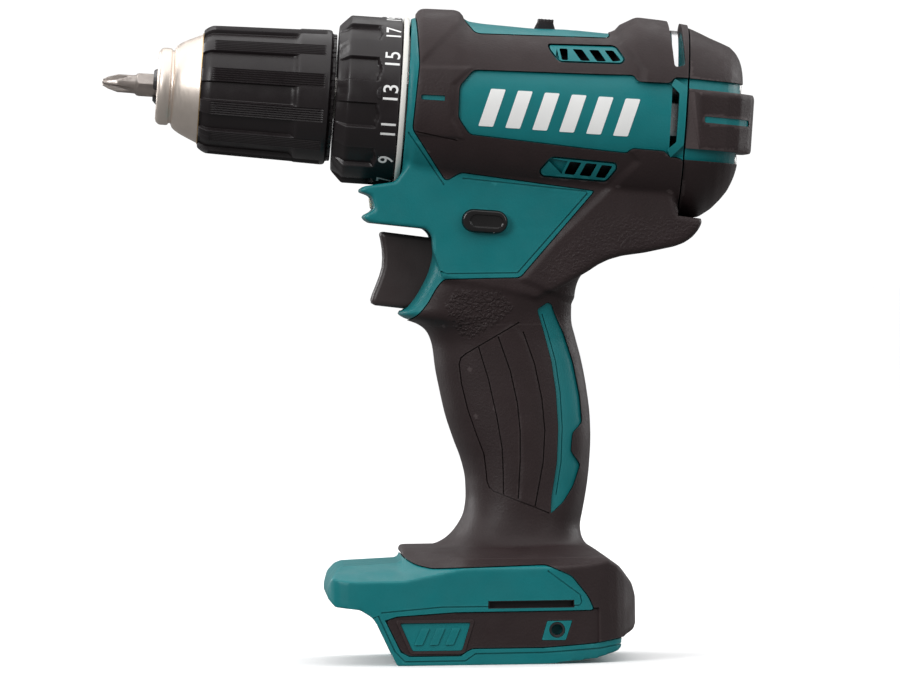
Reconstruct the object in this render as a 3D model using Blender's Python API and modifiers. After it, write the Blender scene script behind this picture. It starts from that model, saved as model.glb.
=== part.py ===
"""Cordless drill driver without its battery: every piece a separate closed solid.

The nose points along -X and +Z is up; the drill stands on its battery shoe at z = 0 and its mid-plane is y = 0.
Sizes are in millimetres and become metres in the helper functions. The working axis leans nose-up by AXIS_TILT.
Pieces on that axis are modelled in the frame of an empty whose +Z points to the nose, +X up and +Y to the drill's
right side; their place along the axis is called s, positive towards the nose.
"""
from math import cos, pi, radians, sin, tan

import bmesh
import bpy
from mathutils import Matrix, Vector

MM = 0.001
GAP = 0.3                    # clearance between neighbouring pieces
WELD = 0.002 * MM            # distance under which corners are one
SHELL_FACES = 450            # a mesh with more faces than this is one of the housing's forms

# Working axis
AXIS_TILT = radians(4.6)
AXIS_HEIGHT = 160.5          # height of the axis at x = 0

# Chuck
BIT_TIP = 94.12
BIT_FLATS = 6.35
BIT_END = 54.0
NOSE_FRONT = 78.3
SLEEVE_FRONT = 65.7
SLEEVE_REAR = 28.7
SLEEVE_BORE = 16.4
SLEEVE_FLUTES = 12
JAW_LEAN = radians(12)
JAW_RADIUS = 3.4
JAW_TIP = 79.4
JAW_REAR = 50.0
JAW_COUNT = 3
SPINDLE_RADIUS = 6.0
SPINDLE_NOSE_RADIUS = 4.7

# Clutch and torque ring
RING_RADIUS = 24.3
RING_FRONT = 26.8
RING_REAR = 8.8
TRIM_FRONT = 8.5
TRIM_REAR = 7.0
NECK_RADIUS = 12.4
CASE_RADIUS = 20.6
CASE_BORE = 18.85
CASE_REAR = -40.4

# Three equal planetary stages
MODULE = 1.04
SUN_TEETH = 12
PLANET_TEETH = 9
RING_TEETH = SUN_TEETH + 2 * PLANET_TEETH
PLANET_COUNT = 3
PLANET_ORBIT = MODULE * (SUN_TEETH + PLANET_TEETH) / 2
PIN_RADIUS = 1.42
RING_GEAR_RADIUS = 18.6
CARRIER_RADIUS = 14.4

# Motor
MOTOR_FRONT = -41.0
MOTOR_REAR = -79.0
MOTOR_RADIUS = 17.9
MOTOR_SHAFT = 1.58

# Housing
SEAM = -73.6                 # seam to the rear cover
WALL = 2.4
SKIN = 1.4                   # soft grip thickness
CAVITY_TOP = 22.3            # roof of the barrel cavity above the axis
CAVITY_RADIUS = 24.6
BASE_HALF_WIDTH = 38.0
BASE_MIDDLE = 12.8
THROAT_HALF_WIDTH = 19.5
SPLIT_GAP = 0.15
SCREW_PLACES = ((0.5, 131.0), (61.0, 124.5), (25.0, 90.0), (27.0, 46.0), (-14.0, 22.0))
SCREW_SEAT = 11.0

# Trigger and direction button
TRIGGER_HALF_WIDTH = 7.8
TRIGGER_STEM = (112.0, 2.4)
DIRECTION_PLACE = (15.4, 126.4)
DIRECTION_REACH = 22.0

# Side outlines, x and z
BASE_OUTLINE = (
    (-31.7, 20.3), (-30.7, 25.0), (-27.3, 28.2), (-10.0, 29.3), (31.0, 30.0), (44.3, 31.6), (52.3, 27.3),
    (57.3, 19.0), (57.3, 10.0), (51.8, 5.2), (45.0, 1.3), (30.0, 0.0), (-12.0, 0.0), (-17.3, 11.0), (-22.3, 15.7),
)
THROAT_CORE = (
    (0.0, 150.0), (66.0, 146.0), (70.6, 127.6), (77.5, 126.3), (69.7, 119.2), (52.3, 116.6), (43.7, 112.0),
    (30.0, 108.0), (3.0, 112.0), (0.1, 118.2), (-0.1, 122.4), (-1.6, 124.2),
)
THROAT_LIPS = (
    (-14.2, 125.7), (-17.5, 126.2), (-19.9, 128.7), (-16.0, 130.0), (-17.5, 134.0), (-20.9, 135.9), (-19.0, 137.2),
    (-10.0, 139.5),
)
TRIGGER_OUTLINE = (
    (-14.7, 124.0), (-13.9, 120.6), (-13.6, 116.4), (-14.5, 111.6), (-16.9, 105.6), (-17.2, 103.8), (-16.0, 102.6),
    (-8.2, 101.9), (6.0, 102.4), (6.0, 121.6), (-1.0, 122.2),
)
DARK_OUTLINE = (
    (-3.6, 196.0), (-2.7, 171.7), (-5.2, 152.9), (4.3, 137.8), (8.7, 140.5), (47.1, 134.7), (25.4, 110.1),
    (3.5, 109.9), (-1.0, 103.2), (-5.0, 98.8), (-14.0, 96.0), (-14.0, 36.0), (-9.0, 28.7), (31.0, 28.5),
    (38.3, 25.0), (43.0, 19.0), (44.7, 15.0), (-10.0, 14.2), (-7.0, 4.7), (30.0, 4.7), (46.0, 6.0), (62.0, 7.4),
    (62.0, 37.0), (51.0, 45.0), (51.0, 105.0), (78.0, 112.0), (72.6, 126.0), (71.8, 135.8), (68.4, 143.9),
    (56.2, 145.4), (11.1, 151.3), (8.0, 156.0), (8.5, 165.1), (12.6, 169.7), (58.4, 167.6), (60.0, 165.6),
    (71.0, 165.6), (73.2, 170.0), (73.2, 196.0), (54.0, 196.0), (52.8, 178.6), (14.0, 180.5), (10.6, 186.0),
    (10.0, 196.0),
)

# Stations: place, then how far the form reaches up, down and sideways
BARREL_STATIONS = (
    (6.8, 24.5, 24.5, 24.5), (4.9, 25.0, 24.8, 25.2), (4.1, 27.4, 25.4, 26.6), (-4.8, 27.8, 26.0, 27.8),
    (-9.6, 25.0, 26.2, 28.2), (-28.0, 24.2, 26.6, 28.5), (-51.0, 24.2, 27.0, 28.5), (-58.5, 28.4, 27.2, 28.5),
    (-73.6, 27.1, 27.3, 28.2),
)
# Stations: height, front, back and half-width
HANDLE_STATIONS = (
    (22.0, -7.0, 50.0, 22.0), (29.5, -9.4, 49.0, 21.0), (33.0, -4.0, 44.6, 19.2), (38.0, 6.4, 42.6, 17.4),
    (47.5, 9.5, 44.2, 16.7), (57.5, 8.3, 45.5, 16.6), (71.0, 3.8, 45.7, 16.6), (94.5, -0.5, 41.3, 17.0),
    (100.0, -9.3, 40.4, 17.6), (107.0, -3.9, 40.9, 18.3), (113.0, -1.0, 43.6, 18.8), (122.5, 0.0, 52.0, 19.2),
)

MATERIALS = {
    "teal_plastic": ((0.02, 0.20, 0.21), 0.42, 0.0),
    "dark_grip": ((0.035, 0.027, 0.028), 0.75, 0.0),
    "black_plastic": ((0.02, 0.02, 0.02), 0.5, 0.0),
    "white_plastic": ((0.75, 0.74, 0.70), 0.45, 0.0),
    "nose_metal": ((0.55, 0.48, 0.42), 0.35, 1.0),
    "steel": ((0.55, 0.55, 0.56), 0.3, 1.0),
    "zinc_screw": ((0.45, 0.45, 0.46), 0.4, 1.0),
    "copper": ((0.72, 0.36, 0.20), 0.35, 1.0),
    "magnet": ((0.10, 0.10, 0.11), 0.6, 0.0),
    "carbon": ((0.03, 0.03, 0.03), 0.8, 0.0),
    "clear_lens": ((0.85, 0.88, 0.90), 0.1, 0.0),
    "grey_plastic": ((0.25, 0.25, 0.26), 0.55, 0.0),
}


# ---------------------------------------------------------------- helpers

def material(name):
    """Return the named material, made from MATERIALS at its first use."""
    found = bpy.data.materials.get(name)
    if found:
        return found
    colour, roughness, metallic = MATERIALS[name]
    made = bpy.data.materials.new(name)
    made.use_nodes = True
    shader = made.node_tree.nodes["Principled BSDF"]
    shader.inputs["Base Color"].default_value = (*colour, 1.0)
    shader.inputs["Roughness"].default_value = roughness
    shader.inputs["Metallic"].default_value = metallic
    return made


def place(name, mesh, parent=None):
    """Put a mesh in the drill's collection as an object under its parent empty."""
    obj = bpy.data.objects.new(name, mesh)
    PARTS.objects.link(obj)
    obj.parent = parent
    return obj


def empty(name, location, turn_y=0.0, parent=None):
    """Make an empty that carries a frame for other pieces."""
    obj = bpy.data.objects.new(name, None)
    PARTS.objects.link(obj)
    obj.parent = parent
    obj.location = Vector(location) * MM
    obj.rotation_euler = (0.0, turn_y, 0.0)
    return obj


def bake(obj, weld=True):
    """Replace an object's data by its evaluated mesh, welded on request, and drop its modifiers."""
    graph = bpy.context.evaluated_depsgraph_get()
    mesh = bpy.data.meshes.new_from_object(obj.evaluated_get(graph))
    if weld:
        shape = bmesh.new()
        shape.from_mesh(mesh)
        bmesh.ops.remove_doubles(shape, verts=shape.verts, dist=WELD)
        shape.to_mesh(mesh)
        shape.free()
    if obj.type == "MESH":
        obj.modifiers.clear()
        obj.data = mesh
        return obj
    solid = place(obj.name + "_solid", mesh, obj.parent)
    solid.matrix_basis = obj.matrix_basis
    name = obj.name
    bpy.data.objects.remove(obj)
    solid.name = name
    return solid


def combine(target, tool, operation):
    """Apply a Boolean to target with tool, which is used up.

    The housing's large rounded forms meet at shallow angles, where only the MANIFOLD solver leaves a closed
    surface.
    """
    step = target.modifiers.new(operation.lower(), "BOOLEAN")
    step.operation = operation
    step.solver = "MANIFOLD" if len(target.data.polygons) > SHELL_FACES else "EXACT"
    step.object = tool
    bpy.context.view_layer.update()
    bake(target, weld=False)
    bpy.data.objects.remove(tool)
    return target


def cut(target, *tools):
    """Cut every tool out of target."""
    for tool in tools:
        combine(target, tool, "DIFFERENCE")
    return target


def unite(target, *tools):
    """Join every tool to target as one solid."""
    for tool in tools:
        combine(target, tool, "UNION")
    return target


def keep(target, tool):
    """Keep only what target shares with tool."""
    return combine(target, tool, "INTERSECT")


def copy_of(obj, name="copy"):
    """Duplicate an object with its own mesh."""
    twin = place(name, obj.data.copy(), obj.parent)
    twin.matrix_basis = obj.matrix_basis
    return twin


def bevelled(obj, width, segments=1, angle=35):
    """Round the sharp edges of a mesh object."""
    step = obj.modifiers.new("edges", "BEVEL")
    step.width = width * MM
    step.segments = segments
    step.limit_method = "ANGLE"
    step.angle_limit = radians(angle)
    return bake(obj)


def turned(name, profile, segments=32, parent=None):
    """Turn a profile of (radius, s) points; a ring repeats its first point at the end."""
    closed = profile[0] == profile[-1]
    points = profile[:-1] if closed else profile
    edges = [(i, i + 1) for i in range(len(points) - 1)]
    if closed:
        edges.append((len(points) - 1, 0))
    mesh = bpy.data.meshes.new(name)
    mesh.from_pydata([(r * MM, 0.0, s * MM) for r, s in points], edges, [])
    obj = place(name, mesh, parent)
    screw = obj.modifiers.new("turn", "SCREW")
    screw.steps = segments
    screw.render_steps = segments
    screw.use_merge_vertices = True
    screw.merge_threshold = WELD
    return bake(obj)


def outline_solid(name, loops, half_thickness, parent=None):
    """Extrude a flat outline in its own XY plane to both sides; further loops are holes."""
    curve = bpy.data.curves.new(name, "CURVE")
    curve.dimensions = "2D"
    curve.fill_mode = "BOTH"
    curve.extrude = half_thickness * MM
    for loop in loops:
        spline = curve.splines.new("POLY")
        spline.points.add(len(loop) - 1)
        for point, (u, v) in zip(spline.points, loop):
            point.co = (u * MM, v * MM, 0.0, 1.0)
        spline.use_cyclic_u = True
    return place(name, curve, parent)


def side_solid(name, outline, y0, y1):
    """Extrude an outline given in x and z between two values of y."""
    obj = outline_solid(name, [outline], (y1 - y0) / 2)
    obj.matrix_basis = Matrix.Translation((0, (y0 + y1) / 2 * MM, 0)) @ Matrix.Rotation(pi / 2, 4, "X")
    obj = bake(obj)
    obj.data.transform(obj.matrix_basis)
    obj.matrix_basis = Matrix.Identity(4)
    return obj


def axial_solid(name, loops, s0, s1, parent):
    """Extrude outlines given in the barrel's X and Y between two places on its axis."""
    obj = outline_solid(name, loops, abs(s1 - s0) / 2, parent)
    obj.location.z = (s0 + s1) / 2 * MM
    obj = bake(obj)
    obj.data.transform(obj.matrix_basis)
    obj.matrix_basis = Matrix.Identity(4)
    return obj


def cylinder(name, radius, start, end, segments=16, parent=None, end_radius=None):
    """Make a cylinder or cone between two points."""
    a = Vector(start) * MM
    b = Vector(end) * MM
    shape = bmesh.new()
    bmesh.ops.create_cone(
        shape, cap_ends=True, segments=segments, radius1=radius * MM,
        radius2=(radius if end_radius is None else end_radius) * MM, depth=(b - a).length,
    )
    mesh = bpy.data.meshes.new(name)
    shape.to_mesh(mesh)
    shape.free()
    turn = Vector((0, 0, 1)).rotation_difference((b - a).normalized()).to_matrix().to_4x4()
    mesh.transform(Matrix.Translation((a + b) / 2) @ turn)
    return place(name, mesh, parent)


def box(name, x, y, z, parent=None):
    """Make a box from its (low, high) pairs along the three axes."""
    shape = bmesh.new()
    bmesh.ops.create_cube(shape, size=1.0)
    mesh = bpy.data.meshes.new(name)
    shape.to_mesh(mesh)
    shape.free()
    size = Vector((x[1] - x[0], y[1] - y[0], z[1] - z[0])) * MM
    centre = Vector((x[0] + x[1], y[0] + y[1], z[0] + z[1])) * MM / 2
    mesh.transform(Matrix.Translation(centre) @ Matrix.Diagonal((*size, 1.0)))
    return place(name, mesh, parent)


def loft(name, rings, parent=None):
    """Skin a row of equal rings of points, first to last, with flat caps."""
    shape = bmesh.new()
    rows = [[shape.verts.new(Vector(p) * MM) for p in ring] for ring in rings]
    count = len(rows[0])
    for low, high in zip(rows, rows[1:]):
        for i in range(count):
            j = (i + 1) % count
            shape.faces.new((low[i], low[j], high[j], high[i]))
    shape.faces.new(list(reversed(rows[0])))
    shape.faces.new(rows[-1])
    bmesh.ops.triangulate(shape, faces=shape.faces, quad_method="BEAUTY", ngon_method="BEAUTY")
    bmesh.ops.recalc_face_normals(shape, faces=shape.faces)
    mesh = bpy.data.meshes.new(name)
    shape.to_mesh(mesh)
    shape.free()
    return place(name, mesh, parent)


def oval(up, down, side, power, count):
    """List (height, side) points of a rounded section, upper and lower halves apart."""
    points = []
    for k in range(count):
        angle = 2 * pi * k / count
        c, t = cos(angle), sin(angle)
        reach = up if c > 0 else down
        points.append((
            reach * abs(c) ** (2 / power) * (1 if c > 0 else -1),
            side * abs(t) ** (2 / power) * (1 if t > 0 else -1),
        ))
    return points


def circle(radius, count, phase=0.0):
    """List the corners of a regular polygon."""
    return [(radius * cos(phase + 2 * pi * k / count), radius * sin(phase + 2 * pi * k / count))
            for k in range(count)]


def gear_outline(teeth, direction, share=0.42, tip=0.75, root=1.05, phase=0.0):
    """List the corners of a spur gear, four to a tooth.

    direction is 1 for teeth that point out and -1 for teeth that point in; phase is the first tooth's angle.
    """
    pitch_radius = MODULE * teeth / 2
    tip_radius = pitch_radius + direction * tip * MODULE
    root_radius = pitch_radius - direction * root * MODULE
    flank = tan(radians(20))
    at_tip = (share * pi * MODULE / 2 - tip * MODULE * flank) / tip_radius
    at_root = (share * pi * MODULE / 2 + root * MODULE * flank) / root_radius
    points = []
    for k in range(teeth):
        middle = phase + 2 * pi * k / teeth
        for offset, radius in ((-at_root, root_radius), (-at_tip, tip_radius),
                               (at_tip, tip_radius), (at_root, root_radius)):
            points.append((radius * cos(middle + offset), radius * sin(middle + offset)))
    return points


def grown(outline, margin):
    """Move a closed outline's edges outwards by a margin; a negative one shrinks it."""
    area = sum(a[0] * b[1] - b[0] * a[1] for a, b in zip(outline, outline[1:] + outline[:1]))
    side = 1 if area > 0 else -1
    moved = []
    count = len(outline)
    for k in range(count):
        here = Vector(outline[k])
        before = (here - Vector(outline[k - 1])).normalized()
        after = (Vector(outline[(k + 1) % count]) - here).normalized()
        normals = (Vector((before.y, -before.x)), Vector((after.y, -after.x)))
        middle = (normals[0] + normals[1]).normalized()
        moved.append(here + middle * (side * margin / max(0.5, middle.dot(normals[0]))))
    return [tuple(p) for p in moved]


def spring(name, radius, wire, start, end, turns, parent, per_turn=12):
    """Coil a spring about the parent's Z axis between two places."""
    curve = bpy.data.curves.new(name, "CURVE")
    curve.dimensions = "3D"
    curve.bevel_depth = wire * MM
    curve.bevel_resolution = 1
    curve.use_fill_caps = True
    count = int(turns * per_turn) + 1
    spline = curve.splines.new("POLY")
    spline.points.add(count - 1)
    for k, point in enumerate(spline.points):
        angle = 2 * pi * k / per_turn
        s = start + wire + (end - start - 2 * wire) * k / (count - 1)
        point.co = (radius * cos(angle) * MM, radius * sin(angle) * MM, s * MM, 1.0)
    return bake(place(name, curve, parent))


def drop_crumbs(obj):
    """Keep the largest of the bodies that a cut left in one mesh."""
    shape = bmesh.new()
    shape.from_mesh(obj.data)
    bodies = []
    unseen = set(shape.verts)
    while unseen:
        body = {unseen.pop()}
        edge_of_search = list(body)
        while edge_of_search:
            corner = edge_of_search.pop()
            for line in corner.link_edges:
                other = line.other_vert(corner)
                if other in unseen:
                    unseen.discard(other)
                    body.add(other)
                    edge_of_search.append(other)
        bodies.append(body)
    bodies.sort(key=len)
    for body in bodies[:-1]:
        bmesh.ops.delete(shape, geom=list(body), context="VERTS")
    shape.to_mesh(obj.data)
    shape.free()
    return obj


def finish(obj, material_name, smooth_angle=35):
    """Give a finished piece its material and shading."""
    obj.data.materials.clear()
    obj.data.materials.append(material(material_name))
    for face in obj.data.polygons:
        face.material_index = 0
    obj.data.shade_smooth()
    obj.data.set_sharp_from_angle(angle=radians(smooth_angle))
    return obj


def around(count, phase=0.0):
    """List equally spaced angles."""
    return [phase + 2 * pi * k / count for k in range(count)]


# ---------------------------------------------------------------- chuck

def jaw_axis_radius(s):
    """Distance of a jaw's own axis from the working axis."""
    return 3.3 + (78.0 - s) * tan(JAW_LEAN)


def jaw_rod(name, radius, front, rear, angle, parent):
    """Make the leaning rod of one jaw between two places on the working axis."""
    def point(s):
        r = jaw_axis_radius(s)
        return (r * cos(angle), r * sin(angle), s)
    return cylinder(name, radius, point(rear), point(front), 12, parent)


def build_chuck(axis):
    """Make the bit, the jaws and the keyless chuck that holds them."""
    flat = BIT_FLATS / 2
    corner = flat / cos(pi / 6)
    bit = turned("screwdriver_bit", [
        (0, BIT_TIP), (1.0, BIT_TIP), (2.6, BIT_TIP - 4.5), (2.6, 86.0), (3.4, 84.2), (3.4, BIT_END), (0, BIT_END),
    ], 24, axis)
    keep(bit, axial_solid("hexagon", [circle(corner, 6, pi / 6)], BIT_END - 1, BIT_TIP + 1, axis))
    finish(bit, "steel")

    envelope = [(0, JAW_TIP), (4.4, JAW_TIP), (8.4, 75.4), (20, 66), (20, 40), (0, 40)]
    for number, angle in enumerate(around(JAW_COUNT, pi / 3), 1):
        jaw = jaw_rod(f"chuck_jaw_{number}", JAW_RADIUS, 84, JAW_REAR, angle, axis)
        keep(jaw, turned("tip_envelope", envelope, 24, axis))
        bore = box("bit_space", (-12, flat + 0.12), (-12, 12), (40, 90), axis)
        bore.data.transform(Matrix.Rotation(angle, 4, "Z"))
        finish(cut(jaw, bore), "steel")

    body = turned("chuck_body", [
        (5.3, 77.6), (8.1, 77.6), (8.1, 75.5), (10.9, 72.2), (14.4, 66.4), (14.4, 55.0), (11.9, 54.2),
        (11.9, 46.8), (15.8, 46.0), (15.8, 30.0), (4.95, 30.0), (4.95, 46.0), (3.1, 46.0), (3.1, 49.0),
        (5.3, 49.0), (5.3, 77.6),
    ], 24, axis)
    for angle in around(JAW_COUNT, pi / 3):
        cut(body, jaw_rod("jaw_bore", JAW_RADIUS + 0.08, 84, 40.2, angle, axis))
    finish(body, "steel")

    nose = turned("chuck_nose", [
        (8.5, NOSE_FRONT), (10.3, NOSE_FRONT), (11.1, 77.5), (11.1, 74.4), (10.5, 73.8), (11.8, 73.2),
        (13.9, 70.0), (15.8, 65.9), (15.8, 64.4), (14.75, 64.4), (14.75, 66.5), (11.25, 72.3),
        (8.5, 75.6), (8.5, NOSE_FRONT),
    ], 24, axis)
    finish(nose, "nose_metal")

    sleeve = turned("chuck_sleeve", [
        (SLEEVE_BORE, SLEEVE_FRONT), (17.4, SLEEVE_FRONT), (18.3, 64.6), (18.6, 62.2), (19.5, 30.2),
        (19.0, SLEEVE_REAR), (SLEEVE_BORE, SLEEVE_REAR), (SLEEVE_BORE, SLEEVE_FRONT),
    ], 36, axis)
    for angle in around(SLEEVE_FLUTES, radians(-2)):
        flute = cylinder("flute", 6.0, (23.95, 0, 37.5), (23.75, 0, 62.8), 16, axis)
        flute.data.transform(Matrix.Rotation(angle, 4, "Z"))
        cut(sleeve, flute)
    finish(sleeve, "black_plastic")

    def nut_bore(s):
        return jaw_axis_radius(s) + JAW_RADIUS / cos(JAW_LEAN) + 0.12
    front, rear = 53.5, 47.4
    finish(turned("jaw_nut", [
        (nut_bore(front), front), (16.1, front), (16.1, rear), (nut_bore(rear), rear), (nut_bore(front), front),
    ], 24, axis), "steel")
    screw = turned("chuck_screw", [
        (0, 52.4), (3.4, 52.4), (4.3, 51.6), (4.3, 49.3), (2.7, 49.3), (2.7, 37), (0, 37),
    ], 20, axis)
    cross = box("slot", (-0.6, 0.6), (-3.0, 3.0), (51.0, 54.0), axis)
    finish(cut(screw, cross), "zinc_screw")


# ---------------------------------------------------------------- clutch and gears

def build_clutch(axis):
    """Make the torque ring, its spring and nut, and the gear case's neck bearing."""
    finish(turned("torque_ring", [
        (16.8, 26.4), (20.6, RING_FRONT), (RING_RADIUS, 23.4), (RING_RADIUS, RING_REAR), (20.3, RING_REAR),
        (20.3, 24.6), (16.8, 24.6), (16.8, 26.4),
    ], 36, axis), "black_plastic")
    finish(turned("trim_ring", [
        (21.2, TRIM_FRONT), (24.5, TRIM_FRONT), (24.5, TRIM_REAR), (21.2, TRIM_REAR), (21.2, TRIM_FRONT),
    ], 32, axis), "white_plastic")
    nut = turned("clutch_nut", [
        (NECK_RADIUS + GAP, 19.3), (18.4, 19.3), (18.4, 15.6), (NECK_RADIUS + GAP, 15.6),
        (NECK_RADIUS + GAP, 19.3),
    ], 24, axis)
    for angle in around(2):
        lug = box("lug", (17.6, 19.7), (-2.5, 2.5), (15.9, 19.0), axis)
        lug.data.transform(Matrix.Rotation(angle, 4, "Z"))
        unite(nut, lug)
    finish(nut, "grey_plastic")
    finish(spring("clutch_spring", 15.4, 1.1, 8.4, 15.4, 2.5, axis), "steel")
    finish(turned("clutch_plate", [(13.1, 8.0), (19.4, 8.0), (19.4, 6.4), (13.1, 6.4), (13.1, 8.0)], 24, axis),
           "steel")
    finish(turned("spindle_bearing", [
        (SPINDLE_RADIUS + 0.1, 24.6), (9.3, 24.6), (9.3, 17.4), (SPINDLE_RADIUS + 0.1, 17.4),
        (SPINDLE_RADIUS + 0.1, 24.6),
    ], 24, axis), "copper")


# Each stage: planets front and rear, ring gear front and rear
STAGES = {"third": (-10.0, -18.0, -9.8, -18.2), "second": (-21.6, -29.1, -21.4, -27.0),
          "first": (-33.2, -38.2, -33.4, -38.4)}


def sun_gear(name, front, rear, axis, bore=None):
    """Make a sun gear, with a bore where it sits on a shaft."""
    loops = [gear_outline(SUN_TEETH, 1)]
    if bore:
        loops.append(circle(bore, 12))
    return axial_solid(name, loops, rear, front, axis)


def carrier_pins(carrier, front, rear, axis):
    """Join the planet pins to a carrier."""
    for angle in around(PLANET_COUNT):
        x, y = PLANET_ORBIT * cos(angle), PLANET_ORBIT * sin(angle)
        unite(carrier, cylinder("pin", PIN_RADIUS, (x, y, rear), (x, y, front), 12, axis))
    return carrier


def build_gears(axis):
    """Make the gear case, the three planetary stages and the spindle."""
    case = turned("gear_case", [
        (9.45, 24.8), (NECK_RADIUS, 24.8), (NECK_RADIUS, 6.0), (CASE_RADIUS, 5.4), (CASE_RADIUS, CASE_REAR),
        (CASE_BORE, CASE_REAR), (CASE_BORE, -4.4), (8.4, -4.4), (8.4, 17.2), (9.45, 17.2), (9.45, 24.8),
    ], 24, axis)
    cut(case, box("selector_slot", (16, 24), (-2.3, 2.3), (-32.6, -23.2), axis))
    finish(case, "grey_plastic")

    for stage, (front, rear, ring_front, ring_rear) in STAGES.items():
        for number, angle in enumerate(around(PLANET_COUNT), 1):
            outline = gear_outline(PLANET_TEETH, 1)
            planet = axial_solid(f"{stage}_planet_{number}", [outline, circle(PIN_RADIUS + 0.1, 12)], rear, front,
                                 axis)
            shift = Vector((PLANET_ORBIT * MM, 0, 0))
            planet.data.transform(Matrix.Translation(shift))
            planet.data.transform(Matrix.Rotation(angle, 4, "Z"))
            finish(planet, "steel", 20)
        loops = [circle(RING_GEAR_RADIUS, 24), gear_outline(RING_TEETH, -1, phase=pi / RING_TEETH)]
        ring = axial_solid(f"{stage}_ring_gear", loops, ring_rear, ring_front, axis)
        if stage == "second":
            groove = [(17.75, -24.0), (20, -24.0), (20, -26.5), (17.75, -26.5), (17.75, -24.0)]
            cut(ring, turned("groove", groove, 24, axis))
        finish(ring, "steel", 20)

    spindle = turned("spindle", [
        (0, 45.6), (SPINDLE_NOSE_RADIUS, 45.6), (SPINDLE_NOSE_RADIUS, 29.7), (SPINDLE_RADIUS, 29.4),
        (SPINDLE_RADIUS, -5.0), (CARRIER_RADIUS, -5.2), (CARRIER_RADIUS, -9.5), (0, -9.5),
    ], 24, axis)
    cut(spindle, cylinder("screw_hole", 2.95, (0, 0, 34), (0, 0, 47), 16, axis))
    carrier_pins(spindle, -9.0, -18.0, axis)
    finish(spindle, "steel")

    for name, front, rear, sun_front, pin_rear in (("second_carrier", -18.6, -21.1, -10.6, -29.0),
                                                   ("first_carrier", -29.7, -32.7, -22.2, -38.0)):
        disc = turned(name, [(0, front), (CARRIER_RADIUS, front), (CARRIER_RADIUS, rear), (0, rear)], 24, axis)
        unite(disc, sun_gear("sun", sun_front, front - 0.5, axis))
        carrier_pins(disc, rear + 0.5, pin_rear, axis)
        finish(disc, "steel", 20)
    finish(sun_gear("motor_pinion", -33.5, -39.2, axis, MOTOR_SHAFT + 0.1), "steel", 20)


def build_motor(axis):
    """Make the motor: can, magnets, armature, commutator, fan, brushes and their holder."""
    wall = 1.5
    can = turned("motor_can", [
        (4.6, MOTOR_FRONT), (16.9, MOTOR_FRONT), (MOTOR_RADIUS, MOTOR_FRONT - 1), (MOTOR_RADIUS, MOTOR_REAR),
        (MOTOR_RADIUS - wall, MOTOR_REAR), (MOTOR_RADIUS - wall, MOTOR_FRONT - wall), (4.6, MOTOR_FRONT - wall),
        (4.6, MOTOR_FRONT),
    ], 24, axis)
    for angle in around(4, pi / 4):
        window = box("window", (8, 22), (-4, 4), (-75.5, -70.5), axis)
        window.data.transform(Matrix.Rotation(angle, 4, "Z"))
        cut(can, window)
    finish(can, "steel")

    spread = radians(62)
    steps = 8
    for number, angle in enumerate(around(2, 0.0), 1):
        arc = [angle - spread + 2 * spread * k / steps for k in range(steps + 1)]
        outer = [(16.1 * cos(a), 16.1 * sin(a)) for a in arc]
        inner = [(12.4 * cos(a), 12.4 * sin(a)) for a in reversed(arc)]
        finish(axial_solid(f"motor_magnet_{number}", [outer + inner], -69.5, -49.5, axis), "magnet")

    armature = turned("armature", [
        (0, -33.2), (MOTOR_SHAFT, -33.3), (MOTOR_SHAFT, -49.6), (11.6, -49.6), (11.6, -68.6), (MOTOR_SHAFT, -68.6),
        (MOTOR_SHAFT, -88.4), (0, -88.6),
    ], 24, axis)
    for angle in around(6, pi / 6):
        slot = box("slot", (7.5, 13), (-1.1, 1.1), (-70, -48), axis)
        slot.data.transform(Matrix.Rotation(angle, 4, "Z"))
        cut(armature, slot)
    finish(armature, "copper")
    bore = MOTOR_SHAFT + 0.05
    finish(turned("commutator", [
        (bore, -72.0), (4.5, -72.0), (4.5, -85.2), (bore, -85.2), (bore, -72.0),
    ], 18, axis), "copper")
    fan = turned("motor_fan", [(bore, -43.6), (4.0, -43.6), (4.0, -46.8), (11.0, -46.8), (11.0, -47.8),
                               (bore, -47.8), (bore, -43.6)], 18, axis)
    for angle in around(6):
        blade = box("blade", (3.6, 11.4), (-0.5, 0.5), (-47.2, -43.8), axis)
        blade.data.transform(Matrix.Rotation(angle, 4, "Z"))
        unite(fan, blade)
    finish(fan, "grey_plastic")

    holder = turned("brush_holder", [
        (5.4, -79.3), (17.6, -79.3), (17.6, -82.0), (13.0, -85.4), (5.9, -86.2), (5.0, -89.8), (1.8, -89.8),
        (1.8, -86.6), (5.4, -86.0), (5.4, -79.3),
    ], 24, axis)
    for number, side in enumerate((-1, 1), 1):
        y = sorted((side * 4.0, side * 13.4))
        cut(holder, box("brush_slot", (-1.9, 1.9), y, (-83.6, -78.0), axis))
        y = sorted((side * 4.75, side * 13.0))
        finish(box(f"carbon_brush_{number}", (-1.6, 1.6), y, (-83.2, -79.5), axis), "carbon")
    finish(holder, "grey_plastic")


def build_selector(axis):
    """Make the two-speed selector: its knob, slide and the leg that moves the second ring gear."""
    slide = box("speed_selector", (20.95, 22.0), (-5.0, 5.0), (-38.5, -23.6), axis)
    leg = box("leg", (17.95, 21.4), (-1.8, 1.8), (-26.3, -24.2), axis)
    knob = loft("knob", [
        [(21.6, -3.3, -35.2), (21.6, 3.3, -35.2), (21.6, 3.3, -29.3), (21.6, -3.3, -29.3)],
        [(24.0, -3.3, -35.2), (24.0, 3.3, -35.2), (24.0, 3.3, -29.3), (24.0, -3.3, -29.3)],
        [(26.7, -2.6, -34.2), (26.7, 2.6, -34.2), (26.7, 2.6, -30.5), (26.7, -2.6, -30.5)],
    ], axis)
    finish(unite(slide, leg, knob), "black_plastic")


# ---------------------------------------------------------------- housing

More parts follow.
